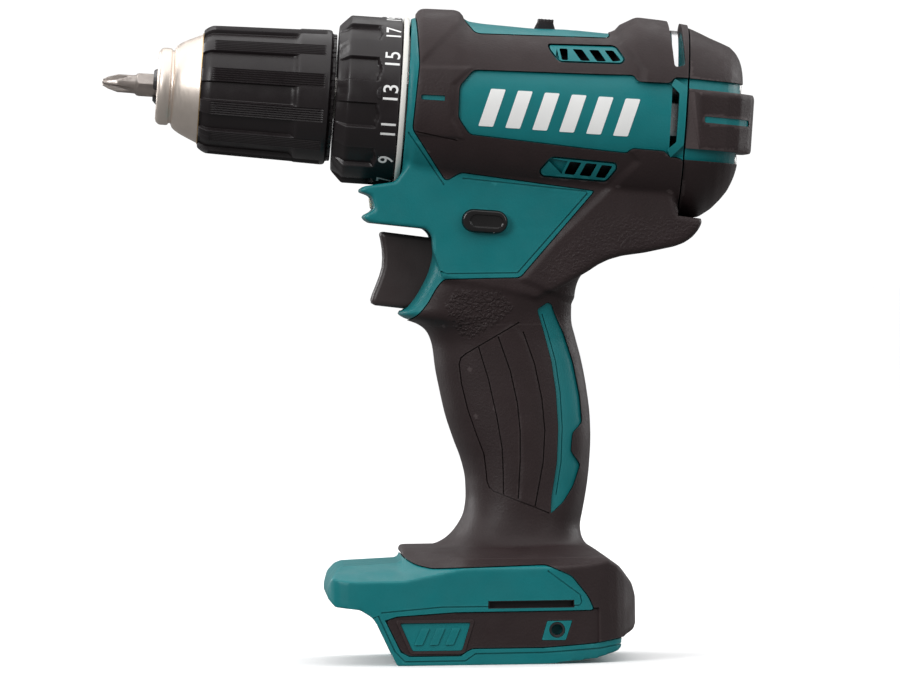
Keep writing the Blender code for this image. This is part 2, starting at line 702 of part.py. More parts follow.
def barrel_form(inset, axis):
    """Make the barrel's outer form, or a smaller one inside it that reaches past both of its ends."""
    past = 1.0 if inset else 0.0
    rings = []
    for number, (s, up, down, side) in enumerate(BARREL_STATIONS):
        if number == 0:
            s += past
        if number == len(BARREL_STATIONS) - 1:
            s -= past
        section = oval(up - inset, down - inset, side - inset, 2.15, 20)
        rings.append([(u, v, s) for u, v in section])
    return loft("barrel_form", rings, axis)


def handle_form(inset):
    """Make the handle's outer form, or a smaller one inside it."""
    rings = []
    for z, front, back, side in HANDLE_STATIONS:
        middle, reach = (front + back) / 2, (back - front) / 2
        section = oval(reach - inset, reach - inset, side - inset, 2.5, 14)
        rings.append([(middle + u, v, z) for u, v in section])
    return loft("handle_form", rings)


def throat_form(inset):
    """Make the block between barrel, trigger and handle; only the outer form has the lamp's lips."""
    outline = list(THROAT_CORE) if inset else list(THROAT_CORE + THROAT_LIPS)
    block = side_solid("throat_form", grown(outline, -inset), inset - THROAT_HALF_WIDTH,
                       THROAT_HALF_WIDTH - inset)
    return bevelled(block, 3.0, 1, 60)


def base_form(inset):
    """Make the battery shoe, lower and shorter towards its sides."""
    rings = []
    outline = grown(list(BASE_OUTLINE), -inset)
    steps = ((1.0, 4.6, 5.6), (0.94, 1.2, 2.4), (0.55, 0.0, 0.4))
    stations = [(-w, e, d) for w, e, d in steps] + [(w, e, d) for w, e, d in reversed(steps)]
    for width, ends, drop in stations:
        ring = []
        for x, z in outline:
            pull = ends * max(0.0, (abs(x - BASE_MIDDLE) - 28.0) / 16.0)
            along = x + (pull if x < BASE_MIDDLE else -pull)
            height = z - drop * max(0.0, (z - 18.0) / 12.0)
            ring.append((along, width * (BASE_HALF_WIDTH - inset), height))
        rings.append(ring)
    return loft("base_form", rings)


def outer_form(inset, axis):
    """Unite the four forms; the ring's space under the barrel's front is kept free."""
    whole = barrel_form(inset, axis)
    whole.data.transform(axis.matrix_world)
    whole.parent = None
    unite(whole, throat_form(inset), handle_form(inset), base_form(inset))
    if inset:
        return whole
    cut(whole, cylinder("ring_space", RING_RADIUS + 0.45, (0, 0, 6.9), (0, 0, 60), 36, axis))
    cover_space = cylinder("cover_space", 27.6, (0, 0, -100), (0, 0, SEAM + 0.05), 24, axis)
    cover_space.data.transform(Matrix.Diagonal((1.0, 1.045, 1.0, 1.0)))
    return cut(whole, cover_space)


def vent_slots(axis):
    """List cutters for the side vents of the barrel."""
    tools = []
    for outline in ([(36.9, 175.2), (53.2, 174.8), (54.4, 171.7), (37.6, 172.2)],
                    [(35.0, 142.9), (51.9, 141.6), (50.4, 138.4), (36.0, 138.9)]):
        tools.append(side_solid("vent", outline, -40, 40))
    side_gap = [(69.6, 164.2), (71.6, 162.6), (70.6, 148.4), (68.4, 146.8)]
    tools.append(side_solid("side_gap", side_gap, -40, 40))
    tools.append(side_solid("top_gap", [(69.4, 181.0), (72.4, 181.0), (72.4, 170.4), (69.4, 170.4)], -40, 40))
    return tools


def cavity(axis):
    """Make what is hollow inside both halves, with the screw posts left standing."""
    hollow = turned("cavity", [
        (0, 7.5), (CAVITY_RADIUS - 1.6, 7.5), (CAVITY_RADIUS, 3.0), (CAVITY_RADIUS, SEAM - 2), (0, SEAM - 2),
    ], 24, axis)
    cut(hollow, box("roof", (CAVITY_TOP, 40), (-40, 40), (-54, 20), axis))
    hollow.data.transform(axis.matrix_world)
    hollow.parent = None
    unite(hollow, handle_form(WALL + 0.3), throat_form(3.4))
    shoe = base_form(WALL)
    keep(shoe, box("above_bay", (-60, 80), (-60, 60), (15.4, 60)))
    unite(hollow, shoe)
    for x, z in SCREW_PLACES:
        cut(hollow, cylinder("post", 3.9, (x, -60, z), (x, 60, z), 12))
    return hollow


def battery_bay():
    """Make the space that the battery slides into, open to the front and below, with a groove on each side."""
    space = box("bay", (-60, 46), (-26.5, 26.5), (-5, 13.0))
    return unite(space, box("groove", (-60, 41), (-30.0, 30.0), (4.6, 9.2)))


def build_housing(axis):
    """Make both housing halves and their soft grips."""
    whole = outer_form(0.0, axis)
    dark = list(DARK_OUTLINE)
    shell = copy_of(whole, "shell")
    keep(shell, cut(side_solid("skin_space", grown(dark, -GAP / 2), -60, 60), outer_form(SKIN, axis)))
    cut(whole, cut(side_solid("recess", grown(dark, GAP / 2), -61, 61), outer_form(SKIN + GAP, axis)))
    cut(whole, cavity(axis), battery_bay())

    trigger_way = [(-40, 101.2), (14, 101.2), (14, 124.4), (-1.4, 124.6), (-40, 129.0)]
    cut(whole, side_solid("trigger_way", trigger_way, -8.6, 8.6))
    x, z = DIRECTION_PLACE
    cut(whole, stadium("button_way", x, z, 6.75, 3.45, -60, 60))
    cut(whole, box("lamp_way", (-30, -11.0), (-5.0, 5.0), (130.4, 133.9)))
    cut(whole, box("selector_way", (20, 40), (-3.7, 3.7), (-40.9, -28.8), axis))
    for tool in vent_slots(axis):
        cut(shell, copy_of(tool))
        cut(whole, tool)
    for x, z in SCREW_PLACES:
        for target in (whole, shell):
            cut(target, cylinder("head_way", 3.5, (x, SCREW_SEAT, z), (x, 60, z), 12))
        cut(whole, cylinder("shank_way", 1.75, (x, -10.5, z), (x, 60, z), 10))

    for side, low, high in (("left", -60, -SPLIT_GAP), ("right", SPLIT_GAP, 60)):
        half = keep(copy_of(whole, f"housing_{side}"), box("half", (-120, 120), (low, high), (-20, 220)))
        finish(drop_crumbs(half), "teal_plastic")
        grip = keep(copy_of(shell, f"grip_{side}"), box("half", (-120, 120), (low, high), (-20, 220)))
        finish(drop_crumbs(grip), "dark_grip")
    bpy.data.objects.remove(whole)
    bpy.data.objects.remove(shell)


def build_rear_cover(axis):
    """Make the motor's rear cover with its air slots and two screws."""
    cover = turned("rear_cover", [
        (27.0, SEAM - GAP), (26.6, -77.0), (24.8, -81.5), (22.2, -86.2), (16.0, -90.3), (5.0, -93.7), (0, -94.0),
        (0, -91.5), (10.0, -89.9), (19.8, -85.0), (23.4, -78.6), (24.6, SEAM - GAP), (27.0, SEAM - GAP),
    ], 24, axis)
    cover.data.transform(Matrix.Diagonal((1.0, 1.045, 1.0, 1.0)))
    for up in (10.4, -10.9):
        cut(cover, box("band", (up - 1.7, up + 1.7), (-40, 40), (-110, -91.2 if up > 0 else -91.0), axis))
    for side in (-1, 1):
        for up in (-2.6, 2.6):
            y = sorted((side * 10, side * 40))
            cut(cover, box("air_slot", (up - 0.9, up + 0.9), y, (-88.5, -79.0), axis))
    seats = ((10.4, "rear_cover_screw_1"), (-10.9, "rear_cover_screw_2"))
    for up, name in seats:
        cut(cover, cylinder("hole", 1.8, (up, 0, -96), (up, 0, -84), 12, axis))
        cut(cover, cylinder("seat", 3.4, (up, 0, -96), (up, 0, -91.0), 12, axis))
        screw = turned(name, [(0, -87.0), (1.4, -87.0), (1.4, -91.3), (3.0, -91.3), (3.0, -92.2), (2.2, -92.9),
                              (0, -93.0)], 12, axis)
        cut(screw, box("slot", (-0.45, 0.45), (-1.8, 1.8), (-95, -92.2), axis))
        screw.data.transform(Matrix.Translation((up * MM, 0, 0)))
        finish(screw, "zinc_screw")
    finish(cover, "teal_plastic")


def stadium(name, x, z, reach, radius, y0, y1):
    """Make a long round-ended bar across the drill, leaning with the working axis."""
    outline = []
    for side, start in ((1, -pi / 2), (-1, pi / 2)):
        for k in range(7):
            angle = start + pi * k / 6
            outline.append((side * (reach - radius) + radius * cos(angle), radius * sin(angle)))
    c, s = cos(-AXIS_TILT), sin(-AXIS_TILT)
    return side_solid(name, [(x + u * c - v * s, z + u * s + v * c) for u, v in outline], y0, y1)


def build_controls():
    """Make the trigger with its switch and spring, the direction button, lamp and battery terminals."""
    trigger = side_solid("trigger", list(TRIGGER_OUTLINE), -TRIGGER_HALF_WIDTH, TRIGGER_HALF_WIDTH)
    bevelled(trigger, 2.2, 2, 60)
    cut(trigger, box("hollow", (-4.0, 12.0), (-6.0, 6.0), (104.0, 119.8)))
    z, radius = TRIGGER_STEM
    unite(trigger, cylinder("stem", radius, (-6.0, 0, z), (23.0, 0, z), 12))
    finish(trigger, "black_plastic")

    switch = bevelled(box("switch_unit", (16.0, 34.6), (-8.5, 8.5), (98.0, 121.4)), 1.0)
    cut(switch, cylinder("stem_way", radius + 0.25, (14, 0, z), (31.5, 0, z), 12))
    finish(switch, "black_plastic")
    coil_frame = empty("stem_axis", (0, 0, z), pi / 2)
    finish(spring("trigger_spring", 4.1, 0.45, 6.4, 15.7, 3.5, coil_frame, 10), "steel")

    x, z = DIRECTION_PLACE
    button = stadium("direction_button", x, z, 6.45, 3.15, -DIRECTION_REACH, DIRECTION_REACH)
    finish(bevelled(button, 0.6, 1, 60), "black_plastic")
    finish(bevelled(box("lamp_lens", (-16.6, -12.0), (-4.7, 4.7), (130.7, 133.6)), 0.5), "clear_lens")

    block = box("terminal_block", (14.0, 44.0), (-16.0, 16.0), (5.0, 12.7))
    for y in (-11.0, 0.0, 11.0):
        cut(block, box("blade_way", (10.0, 36.0), (y - 1.2, y + 1.2), (3.0, 9.5)))
    finish(block, "black_plastic")

    for number, (x, z) in enumerate(SCREW_PLACES, 1):
        axis = empty(f"screw_axis_{number}", (x, SCREW_SEAT, z))
        axis.rotation_euler = (-pi / 2, 0, 0)
        bpy.context.view_layer.update()
        screw = turned(f"housing_screw_{number}", [
            (0, 2.9), (2.2, 2.9), (3.1, 2.0), (3.1, 0.3), (1.5, 0.3), (1.5, -20.0), (0, -20.0),
        ], 10, axis)
        cut(screw, box("slot", (-0.45, 0.45), (-1.9, 1.9), (2.0, 5.0), axis))
        finish(screw, "zinc_screw")


def main():
    """Build the drill."""
    axis = empty("working_axis", (0, 0, AXIS_HEIGHT), AXIS_TILT - pi / 2)
    bpy.context.view_layer.update()
    build_chuck(axis)
    build_clutch(axis)
    build_gears(axis)
    build_motor(axis)
    build_selector(axis)
    build_housing(axis)
    build_rear_cover(axis)
    build_controls()


for leftover in list(bpy.data.objects):
    bpy.data.objects.remove(leftover)
PARTS = bpy.data.collections.new("cordless_drill")
bpy.context.scene.collection.children.link(PARTS)

main()
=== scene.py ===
"""Looks of a cordless drill driver, modelled around its packed mechanical frame.

The nose points along -X, +Z is up and the drill's mid-plane is y = 0. Sizes are given in millimetres and become
metres where a mesh is made. Pieces that turn are modelled about the working axis: there, a point is (up, side, s),
s being the distance along the axis, positive towards the nose.
"""
import logging
import math
from contextlib import contextmanager
from dataclasses import dataclass, field
from enum import Enum
from typing import Callable, Iterator, Sequence

import bmesh
import bpy
import numpy as np
from mathutils import Matrix, Vector


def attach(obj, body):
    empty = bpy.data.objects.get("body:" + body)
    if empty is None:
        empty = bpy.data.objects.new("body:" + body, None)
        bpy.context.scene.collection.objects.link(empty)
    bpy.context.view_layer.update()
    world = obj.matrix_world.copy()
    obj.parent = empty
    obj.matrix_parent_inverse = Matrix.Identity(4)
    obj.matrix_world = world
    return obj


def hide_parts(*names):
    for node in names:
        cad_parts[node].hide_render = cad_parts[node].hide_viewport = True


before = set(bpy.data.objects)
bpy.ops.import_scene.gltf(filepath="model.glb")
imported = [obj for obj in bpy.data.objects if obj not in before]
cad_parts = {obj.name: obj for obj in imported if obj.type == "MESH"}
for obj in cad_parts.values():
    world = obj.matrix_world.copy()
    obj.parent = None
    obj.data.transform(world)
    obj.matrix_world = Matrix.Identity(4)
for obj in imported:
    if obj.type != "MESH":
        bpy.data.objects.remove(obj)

LOG = logging.getLogger("drill")
MM = 0.001
AXIS_TILT = math.radians(4.6)
AXIS_HEIGHT = 160.5
AXIS = (Matrix.Translation((0.0, 0.0, AXIS_HEIGHT * MM))
        @ Matrix.Rotation(AXIS_TILT - math.pi / 2, 4, "Y"))
SEAM = -73.6                 # seam between the housing and the rear cover, along the axis
REACH = 60.0                 # half length of a tool that passes right through the drill
MERGE = 0.002                # corners closer than this are one

Point = tuple[float, float]
Outline = Sequence[Point]
Obj = bpy.types.Object


class Body(str, Enum):
    """Bodies of the frame that new pieces ride on."""

    DRILL = "drill"
    SPINDLE = "spindle"
    SLEEVE = "sleeve"
    BIT = "bit"
    TORQUE_RING = "torque_ring"
    SELECTOR = "selector"
    TRIGGER = "trigger"
    BUTTON = "direction_button"


class Step(str, Enum):
    """Kinds of Boolean step."""

    CUT = "DIFFERENCE"
    JOIN = "UNION"
    KEEP = "INTERSECT"


# ---------------------------------------------------------------- finishes

@dataclass(frozen=True)
class Finish:
    """A procedural finish: base colour with soft mottling, uneven gloss and a fine surface grain, and on some finishes
    a painted highlight along the edges.

    Sizes of the grain and the mottling are in millimetres.
    """

    name: str
    slot: str
    colour: tuple[float, float, float]
    roughness: float
    metallic: float = 0.0
    grain: float = 0.35
    depth: float = 0.02
    mottle: float = 9.0
    mottle_share: float = 0.10
    gloss_spread: float = 0.08
    # painted highlight: a lighter colour mixed in along pointy edges, and the pointiness range that drives it
    edge_share: float = 0.0
    edge_colour: tuple[float, float, float] = (0.5, 0.5, 0.5)
    stretch: tuple[float, float, float] = (1.0, 1.0, 1.0)
    specular: float = 0.5
    transmission: float = 0.0
    coarse: bool = False
    edge_range: tuple[float, float] = (0.51, 0.60)
    stipple_size: float = 0.80
    stipple_depth: float = 0.22
    stipple_range: tuple[float, float] = (0.42, 0.60)

    def material(self) -> bpy.types.Material:
        """Return the finish's material, made at its first use.

        Returns:
            The material with its node tree.
        """
        found = bpy.data.materials.get(self.name)
        if found:
            return found
        made = bpy.data.materials.new(self.name)
        made.use_nodes = True
        tree = made.node_tree
        shader = tree.nodes["Principled BSDF"]
        shader.inputs["Metallic"].default_value = self.metallic
        shader.inputs["Specular IOR Level"].default_value = self.specular
        shader.inputs["Transmission Weight"].default_value = self.transmission
        place = tree.nodes.new("ShaderNodeTexCoord")
        turn = tree.nodes.new("ShaderNodeMapping")
        turn.inputs["Rotation"].default_value = (0.0, AXIS_TILT, 0.0)
        turn.inputs["Scale"].default_value = self.stretch
        tree.links.new(place.outputs["Object"], turn.inputs["Vector"])
        self._colour(tree, shader, place)
        self._gloss(tree, shader, turn)
        self._relief(tree, shader, turn, place)
        return made

    def _noise(self, tree: bpy.types.NodeTree, source: bpy.types.NodeSocket, size: float, detail: float,
               rough: float = 0.55) -> bpy.types.Node:
        """Add a noise texture of a given size in millimetres."""
        noise = tree.nodes.new("ShaderNodeTexNoise")
        noise.inputs["Scale"].default_value = 1.0 / (size * MM)
        noise.inputs["Detail"].default_value = detail
        noise.inputs["Roughness"].default_value = rough
        tree.links.new(source, noise.inputs["Vector"])
        return noise

    def _colour(self, tree: bpy.types.NodeTree, shader: bpy.types.Node, place: bpy.types.Node) -> None:
        """Link the mottled base colour, with a painted highlight: a lighter colour where the mesh's edges are pointy.
        """
        noise = self._noise(tree, place.outputs["Object"], self.mottle, 5.0)
        ramp = tree.nodes.new("ShaderNodeValToRGB")
        ramp.color_ramp.elements[0].position = 0.32
        ramp.color_ramp.elements[1].position = 0.68
        low, high = 1.0 - self.mottle_share, 1.0 + self.mottle_share
        ramp.color_ramp.elements[0].color = (*(c * low for c in self.colour), 1.0)
        ramp.color_ramp.elements[1].color = (*(min(1.0, c * high) for c in self.colour), 1.0)
        tree.links.new(noise.outputs["Fac"], ramp.inputs["Fac"])
        out = ramp.outputs["Color"]
        if self.edge_share:
            # Painted highlight: pointy edges are mixed towards a lighter colour.
            edge = tree.nodes.new("ShaderNodeNewGeometry")
            reach = tree.nodes.new("ShaderNodeMapRange")
            reach.inputs["From Min"].default_value, reach.inputs["From Max"].default_value = self.edge_range
            reach.inputs["To Max"].default_value = self.edge_share
            tree.links.new(edge.outputs["Pointiness"], reach.inputs["Value"])
            mix = tree.nodes.new("ShaderNodeMix")
            mix.data_type = "RGBA"
            mix.inputs["B"].default_value = (*self.edge_colour, 1.0)
            tree.links.new(reach.outputs["Result"], mix.inputs["Factor"])
            tree.links.new(out, mix.inputs["A"])
            out = mix.outputs["Result"]
        tree.links.new(out, shader.inputs["Base Color"])

    def _gloss(self, tree: bpy.types.NodeTree, shader: bpy.types.Node, turn: bpy.types.Node) -> None:
        """Link a roughness that wanders about its middle value."""
        noise = self._noise(tree, turn.outputs["Vector"], self.grain * 9.0, 6.0)
        reach = tree.nodes.new("ShaderNodeMapRange")
        reach.inputs["From Min"].default_value = 0.3
        reach.inputs["From Max"].default_value = 0.7
        reach.inputs["To Min"].default_value = max(0.02, self.roughness - self.gloss_spread)
        reach.inputs["To Max"].default_value = min(1.0, self.roughness + self.gloss_spread)
        tree.links.new(noise.outputs["Fac"], reach.inputs["Value"])
        tree.links.new(reach.outputs["Result"], shader.inputs["Roughness"])

    def _relief(self, tree: bpy.types.NodeTree, shader: bpy.types.Node, turn: bpy.types.Node,
                place: bpy.types.Node) -> None:
        """Link the moulded or machined grain as bump, with a coarse stipple where the mesh asks for it."""
        noise = self._noise(tree, turn.outputs["Vector"], self.grain, 3.0)
        bump = tree.nodes.new("ShaderNodeBump")
        bump.inputs["Strength"].default_value = 1.0
        bump.inputs["Distance"].default_value = self.depth * MM
        tree.links.new(noise.outputs["Fac"], bump.inputs["Height"])
        last = bump
        if self.coarse:
            cells = tree.nodes.new("ShaderNodeTexNoise")
            cells.inputs["Scale"].default_value = 1.0 / (self.stipple_size * MM)
            cells.inputs["Detail"].default_value = 1.0
            tree.links.new(place.outputs["Object"], cells.inputs["Vector"])
            sharp = tree.nodes.new("ShaderNodeMapRange")
            sharp.interpolation_type = "SMOOTHSTEP"
            sharp.inputs["From Min"].default_value, sharp.inputs["From Max"].default_value = self.stipple_range
            tree.links.new(cells.outputs["Fac"], sharp.inputs["Value"])
            mask = tree.nodes.new("ShaderNodeAttribute")
            mask.attribute_name = "stipple"
            both = tree.nodes.new("ShaderNodeMath")
            both.operation = "MULTIPLY"
            tree.links.new(sharp.outputs["Result"], both.inputs[0])
            tree.links.new(mask.outputs["Fac"], both.inputs[1])
            pits = tree.nodes.new("ShaderNodeBump")
            pits.inputs["Distance"].default_value = self.stipple_depth * MM
            tree.links.new(both.outputs["Value"], pits.inputs["Height"])
            tree.links.new(bump.outputs["Normal"], pits.inputs["Normal"])
            last = pits
        tree.links.new(last.outputs["Normal"], shader.inputs["Normal"])


# TEAL, GRIP, BLACK and BROWN_BLACK paint a lighter highlight along their edges.
TEAL = Finish("teal_moulding", "teal_plastic", (0.0040, 0.168, 0.182), 0.42, grain=0.65, depth=0.045,
              mottle_share=0.05, edge_share=0.30, edge_colour=(0.05, 0.34, 0.35), specular=0.32)
GRIP = Finish("dark_overmould", "dark_grip", (0.0270, 0.0172, 0.0176), 0.50, grain=0.70, depth=0.085,
              mottle_share=0.08, edge_share=0.35, edge_colour=(0.12, 0.095, 0.095), specular=0.25, coarse=True)
BLACK = Finish("black_moulding", "black_plastic", (0.0115, 0.0080, 0.0088), 0.38, grain=0.55, depth=0.018,
               mottle_share=0.08, edge_share=0.25, edge_colour=(0.06, 0.055, 0.06), specular=0.42)
BROWN_BLACK = Finish("trigger_moulding", "black_plastic", (0.0300, 0.0215, 0.0215), 0.40, grain=0.8, depth=0.03,
                     mottle_share=0.08, edge_share=0.35, edge_colour=(0.12, 0.10, 0.10), specular=0.40)
GLOSS_BLACK = Finish("polished_black", "black_plastic", (0.010, 0.009, 0.009), 0.16, grain=0.6, depth=0.004,
                     gloss_spread=0.05)
WHITE = Finish("off_white_moulding", "white_plastic", (0.80, 0.785, 0.74), 0.42, grain=0.4, depth=0.006,
               mottle_share=0.02)
PRINT = Finish("white_print", "white_plastic", (0.86, 0.86, 0.85), 0.5, grain=0.25, depth=0.006, mottle_share=0.02)
NOSE = Finish("satin_champagne_metal", "nose_metal", (0.80, 0.71, 0.635), 0.40, metallic=0.88, grain=0.30, depth=0.012,
              mottle_share=0.06, gloss_spread=0.07, stretch=(3.0, 0.6, 0.6))
BIT_STEEL = Finish("bit_steel", "steel", (0.68, 0.62, 0.58), 0.34, metallic=0.92, grain=0.25, depth=0.006,
                   stretch=(0.4, 2.5, 2.5), mottle_share=0.10)
STEEL = Finish("ground_steel", "steel", (0.44, 0.42, 0.40), 0.30, metallic=1.0, grain=0.25, depth=0.006,
               stretch=(0.4, 2.5, 2.5), mottle_share=0.10)
DARK_STEEL = Finish("blackened_steel", "steel", (0.10, 0.098, 0.10), 0.38, metallic=1.0, grain=0.3, depth=0.008,
                    mottle_share=0.2)
BRIGHT = Finish("bright_plate", "steel", (0.62, 0.62, 0.63), 0.24, metallic=1.0, grain=0.5, depth=0.006,
                mottle_share=0.07, stretch=(2.5, 0.5, 0.5))
ZINC = Finish("zinc_plate", "zinc_screw", (0.50, 0.50, 0.49), 0.33, metallic=1.0, grain=0.3, depth=0.01,
              mottle_share=0.15)
GREY = Finish("grey_moulding", "grey_plastic", (0.22, 0.22, 0.23), 0.5, mottle_share=0.06)
COPPER = Finish("enamelled_copper", "copper", (0.60, 0.27, 0.13), 0.32, metallic=1.0, grain=0.5, depth=0.03,
                stretch=(0.5, 3.0, 3.0), mottle_share=0.15)
BRONZE = Finish("sintered_bronze", "bronze", (0.42, 0.28, 0.13), 0.42, metallic=1.0, grain=0.25, depth=0.02,
                mottle_share=0.15)
MAGNET = Finish("ferrite", "magnet", (0.07, 0.07, 0.075), 0.62, grain=0.25, depth=0.02)
CARBON = Finish("pressed_carbon", "carbon", (0.022, 0.022, 0.023), 0.7, grain=0.2, depth=0.02)
LENS = Finish("clear_moulding", "clear_lens", (0.92, 0.94, 0.95), 0.10, grain=1.5, depth=0.01, mottle_share=0.01,
              gloss_spread=0.04, transmission=0.85)
LAMP = Finish("lamp_chip", "clear_lens", (0.85, 0.80, 0.45), 0.35, grain=0.4, depth=0.01, mottle_share=0.06)
FLOOR = Finish("studio_floor", "", (0.94, 0.94, 0.945), 0.62, grain=4.0, depth=0.02, mottle=400.0, mottle_share=0.01,
               specular=0.3)


# ---------------------------------------------------------------- hand tools

def deselect() -> None:
    """Leave nothing selected, so that an operator acts only on what is chosen next."""
    for obj in bpy.context.selected_objects:
        obj.select_set(False)


def pick(obj: Obj) -> None:
    """Make one object the active and only selected one."""
    deselect()
    obj.select_set(True)
    bpy.context.view_layer.objects.active = obj


@contextmanager
def editing(obj: Obj) -> Iterator[bpy.types.Mesh]:
    """Work on an object in edit mode, and leave that mode at the end."""
    pick(obj)
    bpy.ops.object.mode_set(mode="EDIT")
    bpy.ops.mesh.select_mode(type="VERT")
    try:
        yield obj.data
    finally:
        bpy.ops.object.mode_set(mode="OBJECT")


def loft(name: str, rings: Sequence[Sequence[tuple[float, float, float]]], tube: bool = False) -> Obj:
    """Pull a circle from ring to ring by extruding it in edit mode.

    Args:
        name: the object's name.
        rings: loops of points in millimetres, all of one length.
        tube: leave the ends open and join the last ring to the first, as on a sleeve.

    Returns:
        The closed mesh object.
    """
    count = len(rings[0])
    deselect()
    bpy.ops.mesh.primitive_circle_add(vertices=count, radius=1.0, fill_type="NOTHING" if tube else "NGON")
    obj = bpy.context.object
    obj.name = name
    previous = [Vector(p) * MM for p in rings[0]]
    for vertex, point in zip(obj.data.vertices, previous):
        vertex.co = point
    with editing(obj) as mesh:
        bpy.ops.mesh.select_all(action="SELECT")
        for ring in rings[1:]:
            bpy.ops.mesh.extrude_region_move()
            shape = bmesh.from_edit_mesh(mesh)
            shape.verts.ensure_lookup_table()
            order = {tuple(round(c, 7) for c in p): k for k, p in enumerate(previous)}
            target = [Vector(p) * MM for p in ring]
            for vertex in shape.verts[-count:]:
                vertex.co = target[order[tuple(round(c, 7) for c in vertex.co)]]
            previous = target
        bmesh.update_edit_mesh(mesh)
        bpy.ops.mesh.select_all(action="SELECT")
        if tube:
            bpy.ops.mesh.remove_doubles(threshold=MERGE * MM)
        bpy.ops.mesh.normals_make_consistent(inside=False)
    return obj


def turned(name: str, profile: Outline, segments: int = 96, closed: bool = False) -> Obj:
    """Draw half a section and spin it about the working axis.

    Args:
        name: the object's name.
        profile: (radius, s) points; the ends of an open profile lie on the axis.
        segments: steps of a full turn.
        closed: the profile is a loop, as on a ring.

    Returns:
        The closed mesh object, in the frame of the axis.
    """
    deselect()
    bpy.ops.mesh.primitive_circle_add(vertices=len(profile), radius=1.0, fill_type="NOTHING")
    obj = bpy.context.object
    obj.name = name
    for vertex, (radius, s) in zip(obj.data.vertices, profile):
        vertex.co = (radius * MM, 0.0, s * MM)
    with editing(obj) as mesh:
        if not closed:
            shape = bmesh.from_edit_mesh(mesh)
            shape.verts.ensure_lookup_table()
            bpy.ops.mesh.select_all(action="DESELECT")
            bpy.ops.mesh.select_mode(type="EDGE")
            ends = {shape.verts[0], shape.verts[len(profile) - 1]}
            for edge in shape.edges:
                edge.select_set(set(edge.verts) == ends)
            bmesh.update_edit_mesh(mesh)
            bpy.ops.mesh.delete(type="EDGE_FACE")
            bpy.ops.mesh.select_mode(type="VERT")
        bpy.ops.mesh.select_all(action="SELECT")
        bpy.ops.mesh.spin(steps=segments, angle=2 * math.pi, center=(0, 0, 0), axis=(0, 0, 1))
        bpy.ops.mesh.select_all(action="SELECT")
        bpy.ops.mesh.remove_doubles(threshold=MERGE * MM)
        bpy.ops.mesh.normals_make_consistent(inside=False)
    return obj


def slab(name: str, outline: Outline, low: float, high: float, across: str = "Y") -> Obj:
    """Fill an outline and pull it to a thickness.

    Args:
        name: the object's name.
        outline: corners in millimetres; (x, z) for a slab across Y, (x, y) for one along Z.
        low: where the slab starts.
        high: where the slab ends.
        across: "Y" or "Z", the direction of the thickness.

    Returns:
        The closed mesh object.
    """
    deselect()
    bpy.ops.mesh.primitive_circle_add(vertices=len(outline), radius=1.0, fill_type="NGON")
    obj = bpy.context.object
    obj.name = name
    for vertex, (a, b) in zip(obj.data.vertices, outline):
        vertex.co = (a * MM, low * MM, b * MM) if across == "Y" else (a * MM, b * MM, low * MM)
    step = (high - low) * MM
    value = (0.0, step, 0.0) if across == "Y" else (0.0, 0.0, step)
    with editing(obj):
        bpy.ops.mesh.select_all(action="SELECT")
        bpy.ops.mesh.extrude_region_move(TRANSFORM_OT_translate={"value": value})
        bpy.ops.mesh.select_all(action="SELECT")
        bpy.ops.mesh.normals_make_consistent(inside=False)
    return obj


def block(name: str, x: Point, y: Point, z: Point) -> Obj:
    """Make a box from (low, high) pairs along the three axes."""
    return slab(name, [(x[0], y[0]), (x[1], y[0]), (x[1], y[1]), (x[0], y[1])], z[0], z[1], "Z")


def rod(name: str, radius: float, start: Sequence[float], end: Sequence[float], sides: int = 48) -> Obj:
    """Add a cylinder between two points given in millimetres."""
    a, b = Vector(start) * MM, Vector(end) * MM
    deselect()
    bpy.ops.mesh.primitive_cylinder_add(vertices=sides, radius=radius * MM, depth=(b - a).length)
    obj = bpy.context.object
    obj.name = name
    turn = Vector((0, 0, 1)).rotation_difference((b - a).normalized()).to_matrix().to_4x4()
    obj.data.transform(Matrix.Translation((a + b) / 2) @ turn)
    return obj


def modify(obj: Obj, kind: str, **settings: object) -> Obj:
    """Add a modifier, set it and apply it.

    Args:
        obj: the object to change.
        kind: the modifier's type.
        settings: its settings by name.

    Returns:
        The same object.
    """
    pick(obj)
    step = obj.modifiers.new(kind.lower(), kind)
    for key, value in settings.items():
        setattr(step, key, value)
    bpy.ops.object.modifier_apply(modifier=step.name)
    return obj


def bevel(obj: Obj, width: float, segments: int = 3, angle: float = 35.0) -> Obj:
    """Round the sharp edges of a piece by a width in millimetres."""
    return modify(obj, "BEVEL", width=width * MM, segments=segments, limit_method="ANGLE",
                  angle_limit=math.radians(angle), harden_normals=False)


def combine(target: Obj, tool: Obj, step: Step, keep_tool: bool = False, solver: str = "MANIFOLD") -> Obj:
    """Apply a Boolean step to target; the tool is used up unless it is to be kept."""
    modify(target, "BOOLEAN", operation=step.value, solver=solver, object=tool)
    if not keep_tool:
        discard(tool)
    return target


def discard(obj: Obj) -> None:
    """Remove an object and its mesh."""
    mesh = obj.data
    bpy.data.objects.remove(obj)
    bpy.data.meshes.remove(mesh)


def twin(obj: Obj, name: str) -> Obj:
    """Copy an object with its own mesh."""
    copy = obj.copy()
    copy.data = obj.data.copy()
    copy.name = name
    bpy.context.scene.collection.objects.link(copy)
    return copy


def joined(name: str, pieces: Sequence[Obj]) -> Obj:
    """Join several objects to one under a name."""
    pick(pieces[0])
    for piece in pieces:
        piece.select_set(True)
    bpy.ops.object.join()
    pieces[0].name = name
    return pieces[0]


def coords(obj: Obj) -> np.ndarray:
    """Read a mesh's corners as an array in millimetres."""
    flat = np.empty(len(obj.data.vertices) * 3)
    obj.data.vertices.foreach_get("co", flat)
    return flat.reshape(-1, 3) / MM


